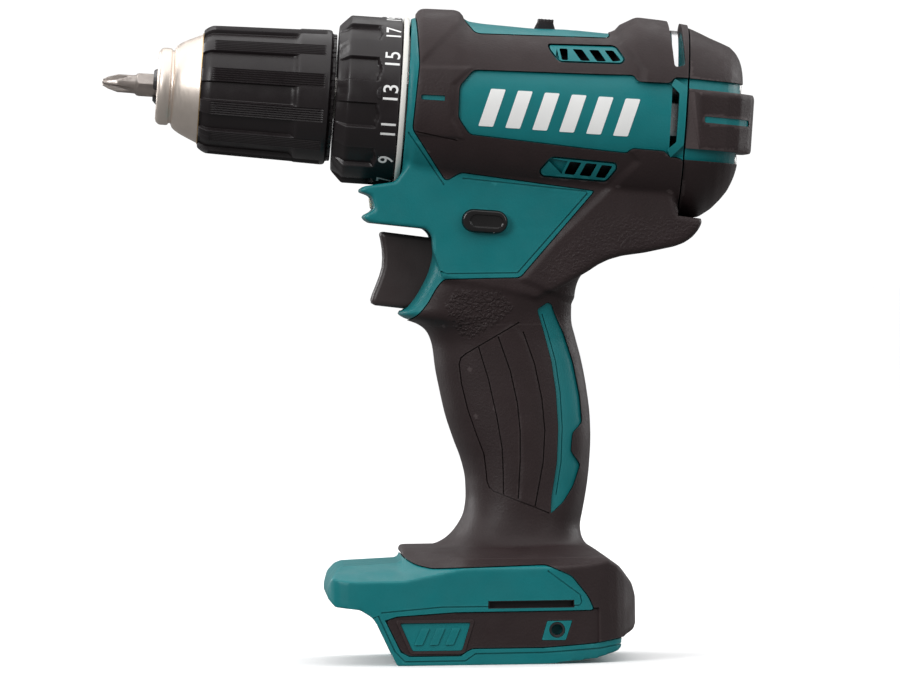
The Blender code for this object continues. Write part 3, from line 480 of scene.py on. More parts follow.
def set_coords(obj: Obj, places: np.ndarray) -> None:
    """Write a mesh's corners from an array in millimetres."""
    obj.data.vertices.foreach_set("co", (places * MM).ravel())
    obj.data.update()


def normals(obj: Obj) -> np.ndarray:
    """Read the corners' normals."""
    flat = np.empty(len(obj.data.vertices) * 3)
    obj.data.vertex_normals.foreach_get("vector", flat)
    return flat.reshape(-1, 3)


def grown(obj: Obj, distance: float, name: str) -> Obj:
    """Copy a form and move its skin outwards along the normals, or inwards if the distance is negative."""
    copy = twin(obj, name)
    set_coords(copy, coords(copy) + normals(copy) * distance)
    return copy


def remeshed(obj: Obj, size: float) -> Obj:
    """Rebuild a form from small even faces, which also rounds its edges, and smooth it a little."""
    modify(obj, "REMESH", mode="VOXEL", voxel_size=size * MM, adaptivity=0.0, use_smooth_shade=True)
    return modify(obj, "SMOOTH", factor=0.5, iterations=2)


def to_axis(obj: Obj) -> Obj:
    """Bring a mesh from the frame of the working axis to its place on the drill."""
    obj.data.transform(AXIS)
    return obj


def done(obj: Obj, finish: Finish, body: Body, *nodes: str, angle: float = 35.0) -> Obj:
    """Shade a finished piece, give it its material and let it ride.

    Args:
        obj: the piece, in its place.
        finish: its finish.
        body: the body that it rides on.
        nodes: the frame's nodes that it stands for.
        angle: edges sharper than this, in degrees, stay crisp.

    Returns:
        The same piece.
    """
    obj.data.materials.clear()
    obj.data.materials.append(finish.material())
    obj.data.polygons.foreach_set("material_index", np.zeros(len(obj.data.polygons), dtype=np.int32))
    pick(obj)
    bpy.ops.object.shade_smooth_by_angle(angle=math.radians(angle))
    obj.data.name = obj.name
    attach(obj, body.value)
    if nodes:
        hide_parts(*nodes)
    LOG.info("%s: %d faces, rides on %s", obj.name, len(obj.data.polygons), body.value)
    return obj


# ---------------------------------------------------------------- outlines

def rounded(outline: Outline, radius: float, steps: int = 4) -> list[Point]:
    """Round the corners of a closed outline.

    Args:
        outline: the corners.
        radius: how far from a corner its arc starts, at most half of an edge.
        steps: segments of an arc.

    Returns:
        The corners of the rounded outline.
    """
    points = [Vector(p) for p in outline]
    made: list[Point] = []
    for k, here in enumerate(points):
        before, after = points[k - 1], points[(k + 1) % len(points)]
        reach = min(radius, (before - here).length * 0.49, (after - here).length * 0.49)
        start = here + (before - here).normalized() * reach
        end = here + (after - here).normalized() * reach
        for i in range(steps + 1):
            t = i / steps
            made.append(tuple(start * (1 - t) ** 2 + here * (2 * t * (1 - t)) + end * t ** 2))
    return made


def moved_edges(outline: Outline, margin: float) -> list[Point]:
    """Move a closed outline's edges outwards by a margin; a negative one shrinks it."""
    points = [Vector(p) for p in outline]
    area = sum(a.x * b.y - b.x * a.y for a, b in zip(points, points[1:] + points[:1]))
    side = 1 if area > 0 else -1
    made = []
    for k, here in enumerate(points):
        before = (here - points[k - 1]).normalized()
        after = (points[(k + 1) % len(points)] - here).normalized()
        first, second = Vector((before.y, -before.x)), Vector((after.y, -after.x))
        middle = (first + second).normalized()
        made.append(tuple(here + middle * (side * margin / max(0.5, middle.dot(first)))))
    return made


def ribbon(line: Outline, width: float) -> list[Point]:
    """Outline a band of even width along an open line."""
    points = [Vector(p) for p in line]
    left, right = [], []
    for k, here in enumerate(points):
        ahead = points[min(k + 1, len(points) - 1)] - points[max(k - 1, 0)]
        normal = Vector((-ahead.y, ahead.x)).normalized()
        left.append(tuple(here + normal * width / 2))
        right.append(tuple(here - normal * width / 2))
    return left + right[::-1]


def curve_through(keys: Outline, at: np.ndarray) -> np.ndarray:
    """Interpolate smoothly through (place, value) keys without overshoot.

    Args:
        keys: pairs in rising order of place.
        at: places to read.

    Returns:
        The values.
    """
    place = np.array([k[0] for k in keys], float)
    value = np.array([k[1] for k in keys], float)
    slope = np.diff(value) / np.diff(place)
    tangent = np.concatenate(([slope[0]], np.where(slope[:-1] * slope[1:] > 0,
                              2 * slope[:-1] * slope[1:] / (slope[:-1] + slope[1:] + 1e-12), 0.0), [slope[-1]]))
    k = np.clip(np.searchsorted(place, at) - 1, 0, len(slope) - 1)
    h = place[k + 1] - place[k]
    t = np.clip((at - place[k]) / h, 0, 1)
    return ((1 + 2 * t) * (1 - t) ** 2 * value[k] + t * (1 - t) ** 2 * h * tangent[k]
            + t * t * (3 - 2 * t) * value[k + 1] + t * t * (t - 1) * h * tangent[k + 1])


def oval(up: float, down: float, side: float, power: float, count: int) -> list[Point]:
    """List (height, side) points of a rounded section, upper and lower halves apart."""
    points = []
    for k in range(count):
        angle = 2 * math.pi * k / count
        c, t = math.cos(angle), math.sin(angle)
        reach = up if c > 0 else down
        points.append((math.copysign(reach * abs(c) ** (2 / power), c),
                       math.copysign(side * abs(t) ** (2 / power), t)))
    return points


def inside_depth(outline: Outline, x: np.ndarray, z: np.ndarray) -> np.ndarray:
    """Tell how deep points lie inside a closed outline, negative outside.

    Args:
        outline: the corners.
        x: the points' first coordinates.
        z: their second coordinates.

    Returns:
        The signed distances to the outline.
    """
    best = np.full(x.shape, 1e9)
    inside = np.zeros(x.shape, bool)
    for (ax, az), (bx, bz) in zip(outline, list(outline[1:]) + [outline[0]]):
        dx, dz = bx - ax, bz - az
        t = np.clip(((x - ax) * dx + (z - az) * dz) / (dx * dx + dz * dz + 1e-12), 0, 1)
        best = np.minimum(best, np.hypot(x - ax - t * dx, z - az - t * dz))
        crossing = (az > z) != (bz > z)
        inside ^= crossing & (x < (bx - ax) * (z - az) / (bz - az + 1e-12) + ax)
    return np.where(inside, best, -best)


# ---------------------------------------------------------------- body

DARK_AREA: Outline = (
    (-3.5, 196.0), (-2.8, 171.7), (-5.1, 153.0), (4.4, 138.0), (8.7, 140.5), (47.1, 134.7), (25.4, 110.1),
    (3.5, 109.9), (1.4, 107.4), (-1.0, 103.2), (-3.2, 100.4), (-5.2, 98.8), (-16.0, 95.0), (-16.0, 60.0),
    (-10.6, 40.0), (-10.2, 31.4), (-8.6, 29.9), (-6.0, 28.5), (-1.7, 27.5), (31.0, 28.3), (38.3, 25.0),
    (43.0, 19.0), (44.7, 15.1), (5.0, 15.0), (-11.7, 14.0), (-15.0, 13.0), (-10.7, 4.0), (-8.3, 2.7), (6.3, 2.7),
    (9.3, 4.7), (30.0, 4.7), (45.0, 5.7), (52.3, 6.9), (62.0, 7.4), (62.0, 37.0), (51.0, 45.0), (51.0, 105.0),
    (81.0, 112.0), (81.0, 126.0), (71.8, 135.8), (72.8, 142.6), (70.6, 144.0), (68.4, 143.9), (67.1, 145.8),
    (57.5, 146.7), (56.2, 145.4), (50.0, 146.1), (11.1, 151.3), (8.0, 156.0), (8.5, 165.1), (12.6, 169.7),
    (50.0, 167.9), (58.4, 167.6), (59.3, 165.7), (68.8, 165.1), (70.1, 166.8), (75.6, 166.4), (76.6, 196.0),
    (54.0, 196.0), (52.4, 179.2), (51.4, 178.7), (14.6, 180.3), (13.2, 180.9), (10.6, 184.6), (10.0, 196.0),
)
PANEL: Outline = (
    (12.6, 169.7), (8.5, 165.1), (8.0, 156.0), (11.1, 151.3), (50.0, 146.1), (56.2, 145.4), (57.5, 146.7),
    (67.1, 145.8), (68.4, 143.9), (70.6, 144.0), (80.0, 143.2), (80.0, 166.2), (70.1, 166.8), (68.8, 165.1),
    (59.3, 165.7), (58.4, 167.6), (50.0, 167.9),
)
LOWER_BAND: Outline = (
    (44.7, 15.1), (5.0, 15.0), (-11.7, 14.0), (-15.0, 13.0), (-10.7, 4.0), (-8.3, 2.7), (6.3, 2.7), (9.3, 4.7),
    (30.0, 4.7), (45.0, 5.7),
)
STRIPE: Outline = (
    (30.3, 100.8), (33.3, 102.8), (34.3, 102.3), (35.0, 100.0), (38.0, 93.5), (40.5, 85.5), (42.3, 76.0), (42.9, 68.3),
    (40.0, 65.3), (39.4, 60.0), (42.2, 56.1), (40.0, 50.0), (37.0, 45.5), (33.5, 42.3), (33.8, 47.0), (35.5, 57.0),
    (36.0, 67.0), (35.5, 77.0), (34.3, 86.0), (32.3, 94.0),
)
UPPER_VENT: Outline = ((34.6, 176.7), (34.9, 175.4), (37.3, 172.1), (54.9, 171.3), (55.7, 172.2), (53.4, 176.0))
LOWER_VENT: Outline = ((31.4, 140.7), (34.7, 144.3), (52.8, 142.3), (53.0, 141.0), (50.2, 137.6), (32.0, 139.4))
FRONT_DASH: Outline = ((-2.6, 162.9), (4.3, 162.5), (4.2, 160.9), (-2.6, 161.4))
BADGE: Outline = ((-10.8, 12.1), (9.2, 12.1), (6.7, 4.2), (-7.4, 4.2))
CLIP_PAD: Outline = ((31.0, 12.4), (38.4, 12.4), (36.4, 6.6), (29.3, 6.7))


@dataclass
class BodyForm:
    """The outer form that the housing and its soft grip share."""

    fine: float = 0.65
    count: int = 144
    barrel_stations: Sequence[tuple[float, float, float, float]] = (
        (6.8, 24.5, 24.5, 24.5), (4.9, 25.0, 24.8, 25.2), (4.3, 26.6, 25.4, 26.4), (3.4, 27.05, 25.6, 26.8),
        (-4.8, 27.25, 26.0, 27.8), (-6.6, 27.25, 26.0, 28.0), (-9.9, 25.0, 26.2, 28.2), (-14.0, 24.6, 26.3, 28.4),
        (-28.0, 24.2, 26.6, 28.5), (-38.0, 24.6, 26.8, 28.5), (-51.0, 24.2, 27.0, 28.5), (-58.5, 28.4, 27.2, 28.5),
        (-66.0, 28.0, 27.3, 28.5), (-73.55, 27.1, 27.3, 28.2), (-78.0, 26.6, 27.3, 28.0),
    )
    handle_front: Outline = (
        (20.0, -7.0), (29.0, -9.6), (32.0, -9.6), (32.8, -6.0), (33.4, 0.0), (36.0, 4.5), (39.5, 7.3), (42.5, 8.8),
        (47.5, 9.5), (52.0, 9.4), (57.5, 8.3), (64.0, 6.0), (71.0, 3.8), (78.0, 2.3), (84.5, 1.1), (90.5, 0.4),
        (94.5, -0.9), (96.8, -3.2), (98.4, -7.6), (99.3, -9.9), (100.8, -9.7), (102.0, -7.9), (106.8, -4.0),
        (112.8, -1.0), (118.2, 0.1), (124.0, 0.0),
    )
    handle_back: Outline = (
        (20.0, 50.0), (28.0, 49.0), (32.5, 44.4), (35.0, 42.9), (38.0, 42.4), (43.0, 43.3), (49.5, 44.5),
        (56.0, 45.3), (64.5, 45.8), (69.5, 45.7), (78.0, 44.8), (86.5, 43.3), (92.5, 41.8), (98.0, 40.6),
        (104.5, 40.8), (108.5, 41.6), (111.4, 43.2), (113.6, 45.8), (115.4, 49.5), (124.0, 56.0),
    )
    handle_side: Outline = (
        (20.0, 25.0), (29.0, 24.0), (32.5, 20.4), (36.0, 18.2), (42.0, 17.0), (50.0, 16.6), (71.0, 16.6),
        (94.5, 17.0), (100.0, 17.9), (107.0, 19.0), (113.0, 19.5), (124.0, 19.6),
    )
    throat_half: float = 19.5
    throat_outline: Outline = (
        (0.0, 152.0), (66.0, 146.0), (70.6, 127.6), (77.6, 126.2), (76.2, 123.6), (74.6, 121.7), (72.4, 120.2),
        (69.7, 119.2), (61.0, 117.5), (54.5, 116.7), (50.5, 115.6), (47.3, 114.1), (44.9, 112.5), (30.0, 104.0),
        (3.0, 110.0), (0.1, 118.2), (-0.1, 122.4), (-1.6, 124.2), (-14.2, 125.7), (-17.5, 126.1), (-19.2, 127.2),
        (-19.9, 128.7), (-17.2, 129.9), (-16.3, 130.2), (-17.2, 134.0), (-20.0, 134.9), (-21.0, 135.9),
        (-19.0, 137.3), (-10.3, 138.4),
    )
    shoe_outline: Outline = (
        (-31.7, 19.3), (-31.7, 21.7), (-30.7, 25.0), (-28.6, 27.7), (-26.6, 28.6), (-10.0, 29.4), (-9.7, 33.0),
        (44.0, 33.0), (47.7, 30.6), (52.3, 27.3), (56.0, 22.3), (57.3, 18.3), (57.3, 10.3), (56.4, 8.8),
        (52.9, 7.1), (52.9, 4.2), (51.6, 2.9), (45.0, 1.0), (30.0, -0.35), (-12.0, -0.35), (-17.3, 11.0),
        (-19.0, 13.6), (-22.3, 15.7), (-29.4, 16.6),
    )
    shoulder_stations: Sequence[tuple[float, float, float, float]] = (
        (-60.0, 24.1, 29.6, 22.0), (-9.8, 24.1, 29.6, 22.0), (-9.7, 24.1, 33.2, 17.5), (8.0, 27.6, 33.2, 17.5),
        (80.0, 27.6, 33.2, 17.5),
    )
    half_width: float = 38.0
    _kept: dict[float, Obj] = field(default_factory=dict)

    def barrel(self) -> Obj:
        """Loft the barrel along the axis."""
        stations = np.array(self.barrel_stations)
        rings = []
        for s in np.unique(np.concatenate((np.arange(-77.5, 6.8, 1.6), stations[:, 0])))[::-1]:
            up, down, side = (np.interp(-s, -stations[:, 0], stations[:, k]) for k in (1, 2, 3))
            rings.append([(u, v, s) for u, v in oval(up, down, side, 2.15, self.count)])
        return to_axis(loft("barrel_form", rings))

    def handle(self) -> Obj:
        """Loft the handle upwards through its front, back and side curves."""
        heights = np.arange(21.0, 123.6, 1.25)
        front, back, side = (curve_through(keys, heights)
                             for keys in (self.handle_front, self.handle_back, self.handle_side))
        rings = []
        for z, a, b, w in zip(heights, front, back, side):
            reach = (b - a) / 2
            power = float(np.interp(z, (92.0, 110.0), (2.45, 4.2)))
            rings.append([((a + b) / 2 + u, v, z) for u, v in oval(reach, reach, w, power, self.count)])
        return loft("handle_form", rings)

    def throat(self) -> Obj:
        """Pull the block behind the trigger to its width and round it."""
        made = slab("throat_form", self.throat_outline, -self.throat_half, self.throat_half)
        return bevel(made, 2.6, 3, 75)

    def shoe(self) -> Obj:
        """Shape the battery shoe: its side outline, rounded in plan, with sloping shoulders."""
        made = slab("shoe_form", self.shoe_outline, -self.half_width, self.half_width)
        plan = rounded([(-31.9, -38.0), (57.4, -38.0), (57.4, 38.0), (-31.9, 38.0)], 9.0, 6)
        rear = rounded([(-40.0, -38.0), (57.4, -38.0), (57.4, 38.0), (-40.0, 38.0)], 24.0, 10)
        combine(made, slab("plan", plan, -5, 60, "Z"), Step.KEEP)
        combine(made, slab("rear_plan", [p for p in rear if p[0] > 20] + [(-60, 38), (-60, -38)], -5, 60, "Z"),
                Step.KEEP)
        for side in (-1, 1):
            rings = [[(x, side * 38.4, edge), (x, side * 32.0, edge + 2.6), (x, side * inner, crest),
                      (x, side * inner, 60.0), (x, side * 60.0, 60.0), (x, side * 60.0, edge)]
                     for x, edge, crest, inner in self.shoulder_stations]
            combine(made, loft("shoulder", rings), Step.CUT)
        return made

    def whole(self) -> Obj:
        """Unite the forms and rebuild them as one even skin."""
        made = self.barrel()
        for form in (self.throat(), self.handle(), self.shoe()):
            combine(made, form, Step.JOIN)
        ring_space = to_axis(rod("ring_space", 24.75, (0, 0, 6.85), (0, 0, 60), 96))
        combine(made, ring_space, Step.CUT)
        made.name = "whole"
        return remeshed(made, self.fine)

    def cover_space(self) -> Obj:
        """Make the tool that parts the body from the rear cover along a crisp seam."""
        outline = [(75.95, 192.0), (70.85, 127.25), (78.6, 126.25), (110.0, 126.25), (110.0, 192.0)]
        return slab("cover_space", outline, -REACH, REACH)

    def at(self, distance: float) -> Obj:
        """Return a copy of the form whose skin is moved outwards by a distance in millimetres."""
        if 0.0 not in self._kept:
            self._kept[0.0] = self.whole()
        if distance not in self._kept:
            self._kept[distance] = grown(self._kept[0.0], distance, "moved_form")
        return twin(self._kept[distance], "form")

    def layer(self, name: str, outline: Outline, top: float, bottom: float) -> Obj:
        """Cut a layer of the skin out of an outline seen from the side, on both sides of the drill.

        Args:
            name: the object's name.
            outline: the layer's outline in x and z.
            top: how far above the form the layer ends.
            bottom: how far above the form it starts.

        Returns:
            The layer's mesh object.
        """
        made = slab(name, outline, -REACH, REACH)
        combine(made, self.at(top), Step.KEEP)
        return combine(made, self.at(bottom), Step.CUT)

    def space(self, outline: Outline, bottom: float) -> Obj:
        """Make a tool that cuts an outline down to a depth below the skin."""
        made = slab("space", outline, -61, 61)
        return combine(made, self.at(bottom), Step.CUT)

    def clear(self) -> None:
        """Remove the kept forms."""
        for form in self._kept.values():
            discard(form)
        self._kept.clear()


@dataclass
class Shell:
    """The teal housing halves and the dark soft grip over them."""

    form: BodyForm
    voxel: float = 0.52
    gap: float = 0.16
    teal_depth: float = 0.35
    grip_depth: float = 1.35
    cuts: Sequence[float] = (96.5, 30.0)

    def openings(self) -> list[Obj]:
        """List the tools that open both the housing and the grip."""
        tools = [self.form.space(rounded(moved_edges(outline, 0.1), 1.2), -4.6)
                 for outline in (UPPER_VENT, LOWER_VENT)]
        gap = [(69.4, 164.3), (71.8, 162.2), (70.7, 148.3), (68.2, 146.6)]
        tools.append(slab("side_gap", rounded(gap, 0.5), -REACH, REACH))
        tools.append(slab("top_gap", rounded([(68.9, 190.0), (73.0, 190.0), (73.4, 170.2), (70.2, 169.8)], 1.0),
                          -REACH, REACH))
        return tools

    def cavity(self) -> Obj:
        """Hollow for the gears, motor, switch and battery terminals."""
        profile = [(0, 7.5), (22.9, 7.5), (24.4, 3.0), (24.4, SEAM - 2), (0, SEAM - 2)]
        hollow = turned("cavity", profile, 72)
        combine(hollow, block("roof", (22.2, 40), (-40, 40), (-54, 20)), Step.CUT)
        to_axis(hollow)
        inner = slab("throat_room", moved_edges(BodyForm.throat_outline[:17], -4.0), -15.8, 15.8)
        combine(hollow, inner, Step.JOIN)
        combine(hollow, block("grip_room", (14.0, 30.5), (-10.5, 10.5), (10.0, 125.0)), Step.JOIN)
        return combine(hollow, block("shoe_room", (-8.0, 48.0), (-33.0, 33.0), (15.4, 23.0)), Step.JOIN)

    def bay(self) -> Obj:
        """Space that the battery slides into, with a groove on each side."""
        made = block("bay", (-60, 46), (-26.5, 26.5), (-5, 13.0))
        return combine(made, block("groove", (-60, 41), (-30.0, 30.0), (4.6, 9.2)), Step.JOIN)

    def housing(self) -> Obj:
        """Shape the housing under the grip and open it."""
        made = self.form.at(-self.teal_depth)
        made.name = "housing"
        combine(made, self.form.space(moved_edges(rounded(DARK_AREA, 1.2, 3), self.gap), -self.grip_depth - 0.25),
                Step.CUT)
        combine(made, self.form.space(moved_edges(PANEL, -0.1), -1.0), Step.CUT)
        combine(made, self.form.space(moved_edges(LOWER_BAND, self.gap), -2.3), Step.CUT)
        for tool in self.openings() + [self.cavity(), self.bay(), self.form.cover_space()]:
            combine(made, tool, Step.CUT)
        way = rounded([(-40, 101.0), (14, 101.0), (14, 124.2), (-2.4, 124.2), (-14.0, 125.6), (-40, 129.0)], 1.0)
        combine(made, slab("trigger_way", way, -8.6, 8.6), Step.CUT)
        combine(made, stadium("button_way", 15.4, 126.4, 6.65, 3.33, -REACH, REACH), Step.CUT)
        combine(made, block("lamp_way", (-30, -11.0), (-5.4, 5.4), (130.2, 134.1)), Step.CUT)
        combine(made, to_axis(block("selector_way", (20, 40), (-3.8, 3.8), (-41.0, -28.7))), Step.CUT)
        slot = slab("shoe_slot", [(14.3, 16.0), (38.9, 16.0), (38.9, 18.2), (14.3, 18.2)], -REACH, REACH)
        combine(slot, self.form.at(-3.4), Step.CUT)
        combine(made, slot, Step.CUT)
        hole = rod("clip_hole", 2.3, (33.9, -60, 9.7), (33.9, 60, 9.7), 40)
        combine(hole, self.form.at(-4.4), Step.CUT)
        combine(made, hole, Step.CUT)
        for line, width, depth in self.teal_grooves():
            combine(made, self.form.space(ribbon(line, width), -self.teal_depth - depth), Step.CUT)
        return made

    def teal_grooves(self) -> list[tuple[Outline, float, float]]:
        """List the grooves that follow the borders of the teal fields: line, width and depth."""
        throat = [(2.6, 112.2), (4.3, 111.5), (24.6, 111.5), (44.9, 134.0), (44.6, 134.6), (9.2, 138.8)]
        collar = [(3.9, 137.0), (-6.3, 152.2)]
        shoe = [(31.4, 26.6), (40.6, 19.6), (41.0, 17.6), (40.4, 16.6), (1.0, 16.6), (-16.2, 15.2)]
        frame_line = [(-20.0, 13.2), (-17.0, 14.3), (-12.4, 4.2), (-9.6, 1.2), (7.5, 1.2), (10.5, 3.2), (30.0, 3.3),
                      (46.0, 4.2), (54.0, 5.4)]
        return [(throat, 0.42, 0.45), (collar, 0.42, 0.5), (shoe, 0.4, 0.4), (frame_line, 0.45, 0.45)]

    def grip(self) -> Obj:
        """Shape the soft grip: its layer, raised fields, grooves and openings."""
        made = self.form.layer("grip", moved_edges(rounded(DARK_AREA, 1.4, 3), 0.8), 0.0, -self.grip_depth)
        remeshed(made, self.voxel)
        self.raise_fields(made)
        self.add_stipple(made)
        area = rounded(moved_edges(DARK_AREA, -self.gap), 1.2, 3)
        combine(made, slab("area", area, -REACH, REACH), Step.KEEP)
        combine(made, self.form.cover_space(), Step.CUT)
        windows = [(moved_edges(STRIPE, 0.2), 0.9), (FRONT_DASH, 0.5), (moved_edges(UPPER_VENT, 0.5), 1.4),
                   (moved_edges(LOWER_VENT, 0.5), 1.4), (moved_edges(BADGE, 0.25), 0.9), (CLIP_PAD, 0.5)]
        for outline, corner in windows:
            combine(made, slab("window", rounded(outline, corner), -REACH, REACH), Step.CUT)
        for line in self.grip_grooves():
            combine(made, self.form.space(ribbon(line, 0.40), -0.55), Step.CUT)
        for tool in self.openings():
            combine(made, tool, Step.CUT)
        return made

    def grip_grooves(self) -> list[Outline]:
        """List the lines cut into the soft grip."""
        rim = [(25.0, 97.3), (12.8, 90.3), (9.6, 88.4), (8.2, 87.2), (7.7, 85.5), (8.3, 80.0), (10.0, 72.5),
               (12.5, 65.0), (14.5, 59.5), (15.1, 54.0), (15.3, 51.6), (15.9, 50.0), (17.2, 48.8), (20.0, 47.6),
               (29.0, 44.0), (33.0, 42.3)]
        inner = [(13.3, 90.3), (16.0, 81.0), (18.3, 70.0), (19.7, 61.0), (19.9, 54.0), (19.9, 47.8)]
        middle = [(18.9, 93.3), (22.3, 83.2), (24.2, 74.0), (24.9, 66.0), (24.8, 57.6), (24.1, 46.6)]
        rear = [(26.1, 94.6), (29.3, 85.3), (31.3, 75.0), (32.0, 66.0), (31.4, 57.0), (28.9, 44.4)]
        crease = [(-4.6, 152.4), (7.6, 149.6)]
        return [rim, inner, middle, rear, crease]

    def raise_fields(self, obj: Obj) -> None:
        """Lift or sink fields of the grip's skin with sloping borders."""
        place, normal = coords(obj), normals(obj)
        x, z = place[:, 0], place[:, 2]
        rear = [(54.0, 200.0), (55.6, 176.6), (61.4, 169.0), (60.2, 160.0), (57.0, 146.0), (59.3, 143.2),
                (50.4, 134.8), (35.4, 120.6), (25.6, 109.6), (60.0, 95.0), (100.0, 100.0), (100.0, 200.0)]
        front = [(-20.0, 200.0), (-20.0, 172.4), (-2.3, 172.4), (10.2, 184.4), (9.0, 200.0)]
        cheek = [(-20.0, 171.2), (12.0, 170.4), (6.5, 165.5), (6.0, 156.0), (9.5, 150.2), (-20.0, 153.0)]
        spine = [(23.0, 97.0), (18.6, 93.5), (23.0, 81.0), (25.0, 69.5), (25.5, 57.0), (24.5, 46.0), (29.3, 44.3),
                 (30.6, 57.0), (31.0, 68.0), (30.0, 80.0), (26.8, 92.0)]
        band = [(45.5, 15.2), *LOWER_BAND[1:-1], (45.5, 5.7)]
        lift = np.zeros(len(x))
        for outline, height, slope in ((rear, 0.75, 1.7), (front, 0.40, 1.4), (cheek, 0.45, 0.9), (spine, 0.22, 0.8)):
            depth = np.clip(inside_depth(outline, x, z) / slope + 0.5, 0, 1)
            lift += height * depth
        place += normal * lift[:, None]
        sink = np.clip(inside_depth(band, x, z) / 0.4 + 1.5, 0, 1)
        place[:, 1] -= np.sign(place[:, 1]) * 0.75 * sink * (np.abs(place[:, 1]) > 30)
        set_coords(obj, place)

    def add_stipple(self, obj: Obj) -> None:
        """Mark where the soft grip has its coarse stipple."""
        place = coords(obj)
        x, z = place[:, 0], place[:, 2]
        patch = [(4.0, 102.5), (7.0, 106.5), (19.5, 106.0), (23.5, 101.2), (17.0, 96.0), (11.0, 92.8), (8.5, 93.5),
                 (5.0, 98.0)]
        back = [(30.0, 112.5), (48.0, 128.0), (82.0, 128.0), (82.0, 100.0), (60.0, 52.0), (45.2, 52.0),
                (44.0, 66.0), (44.2, 74.0), (42.0, 86.0), (39.0, 96.0), (36.4, 104.0)]
        share = np.clip(inside_depth(patch, x, z) / 1.0 + 0.5, 0, 1)
        share = np.maximum(share, 0.30 * np.clip(inside_depth(back, x, z) / 4.0 + 0.4, 0, 1))
        layer = obj.data.attributes.new("stipple", "FLOAT", "POINT")
        layer.data.foreach_set("value", share.astype(np.float32))

    def split(self, obj: Obj, stem: str, finish: Finish, node_stem: str) -> None:
        """Cut a whole skin into halves and sections, and dress each of them.

        Args:
            obj: the skin, used up.
            stem: first word of the pieces' names.
            finish: their finish.
            node_stem: first word of the nodes that they stand for.
        """
        top, bottom = self.cuts
        for side, sign in (("left", -1), ("right", 1)):
            for part, low, high in (("barrel", top, 400.0), ("handle", bottom, top), ("shoe", -50.0, bottom)):
                piece = twin(obj, f"{stem}_{side}_{part}")
                y = (-90.0, -0.06) if sign < 0 else (0.06, 90.0)
                combine(piece, block("keep", (-150, 150), y, (low, high)), Step.KEEP)
                done(piece, finish, Body.DRILL, f"{node_stem}_{side}", angle=40)
        discard(obj)

    def build(self) -> None:
        """Build and dress the housing and the grip."""
        self.split(self.housing(), "housing", TEAL, "housing")
        self.split(self.grip(), "soft_grip", GRIP, "grip")


def stadium(name: str, x: float, z: float, reach: float, radius: float, low: float, high: float) -> Obj:
    """Make a long round-ended bar across the drill that leans with the working axis."""
    outline = []
    for side, start in ((1, -math.pi / 2), (-1, math.pi / 2)):
        for k in range(13):
            angle = start + math.pi * k / 12
            outline.append((side * (reach - radius) + radius * math.cos(angle), radius * math.sin(angle)))
    c, s = math.cos(-AXIS_TILT), math.sin(-AXIS_TILT)
    return slab(name, [(x + u * c - v * s, z + u * s + v * c) for u, v in outline], low, high)


# ---------------------------------------------------------------- studio

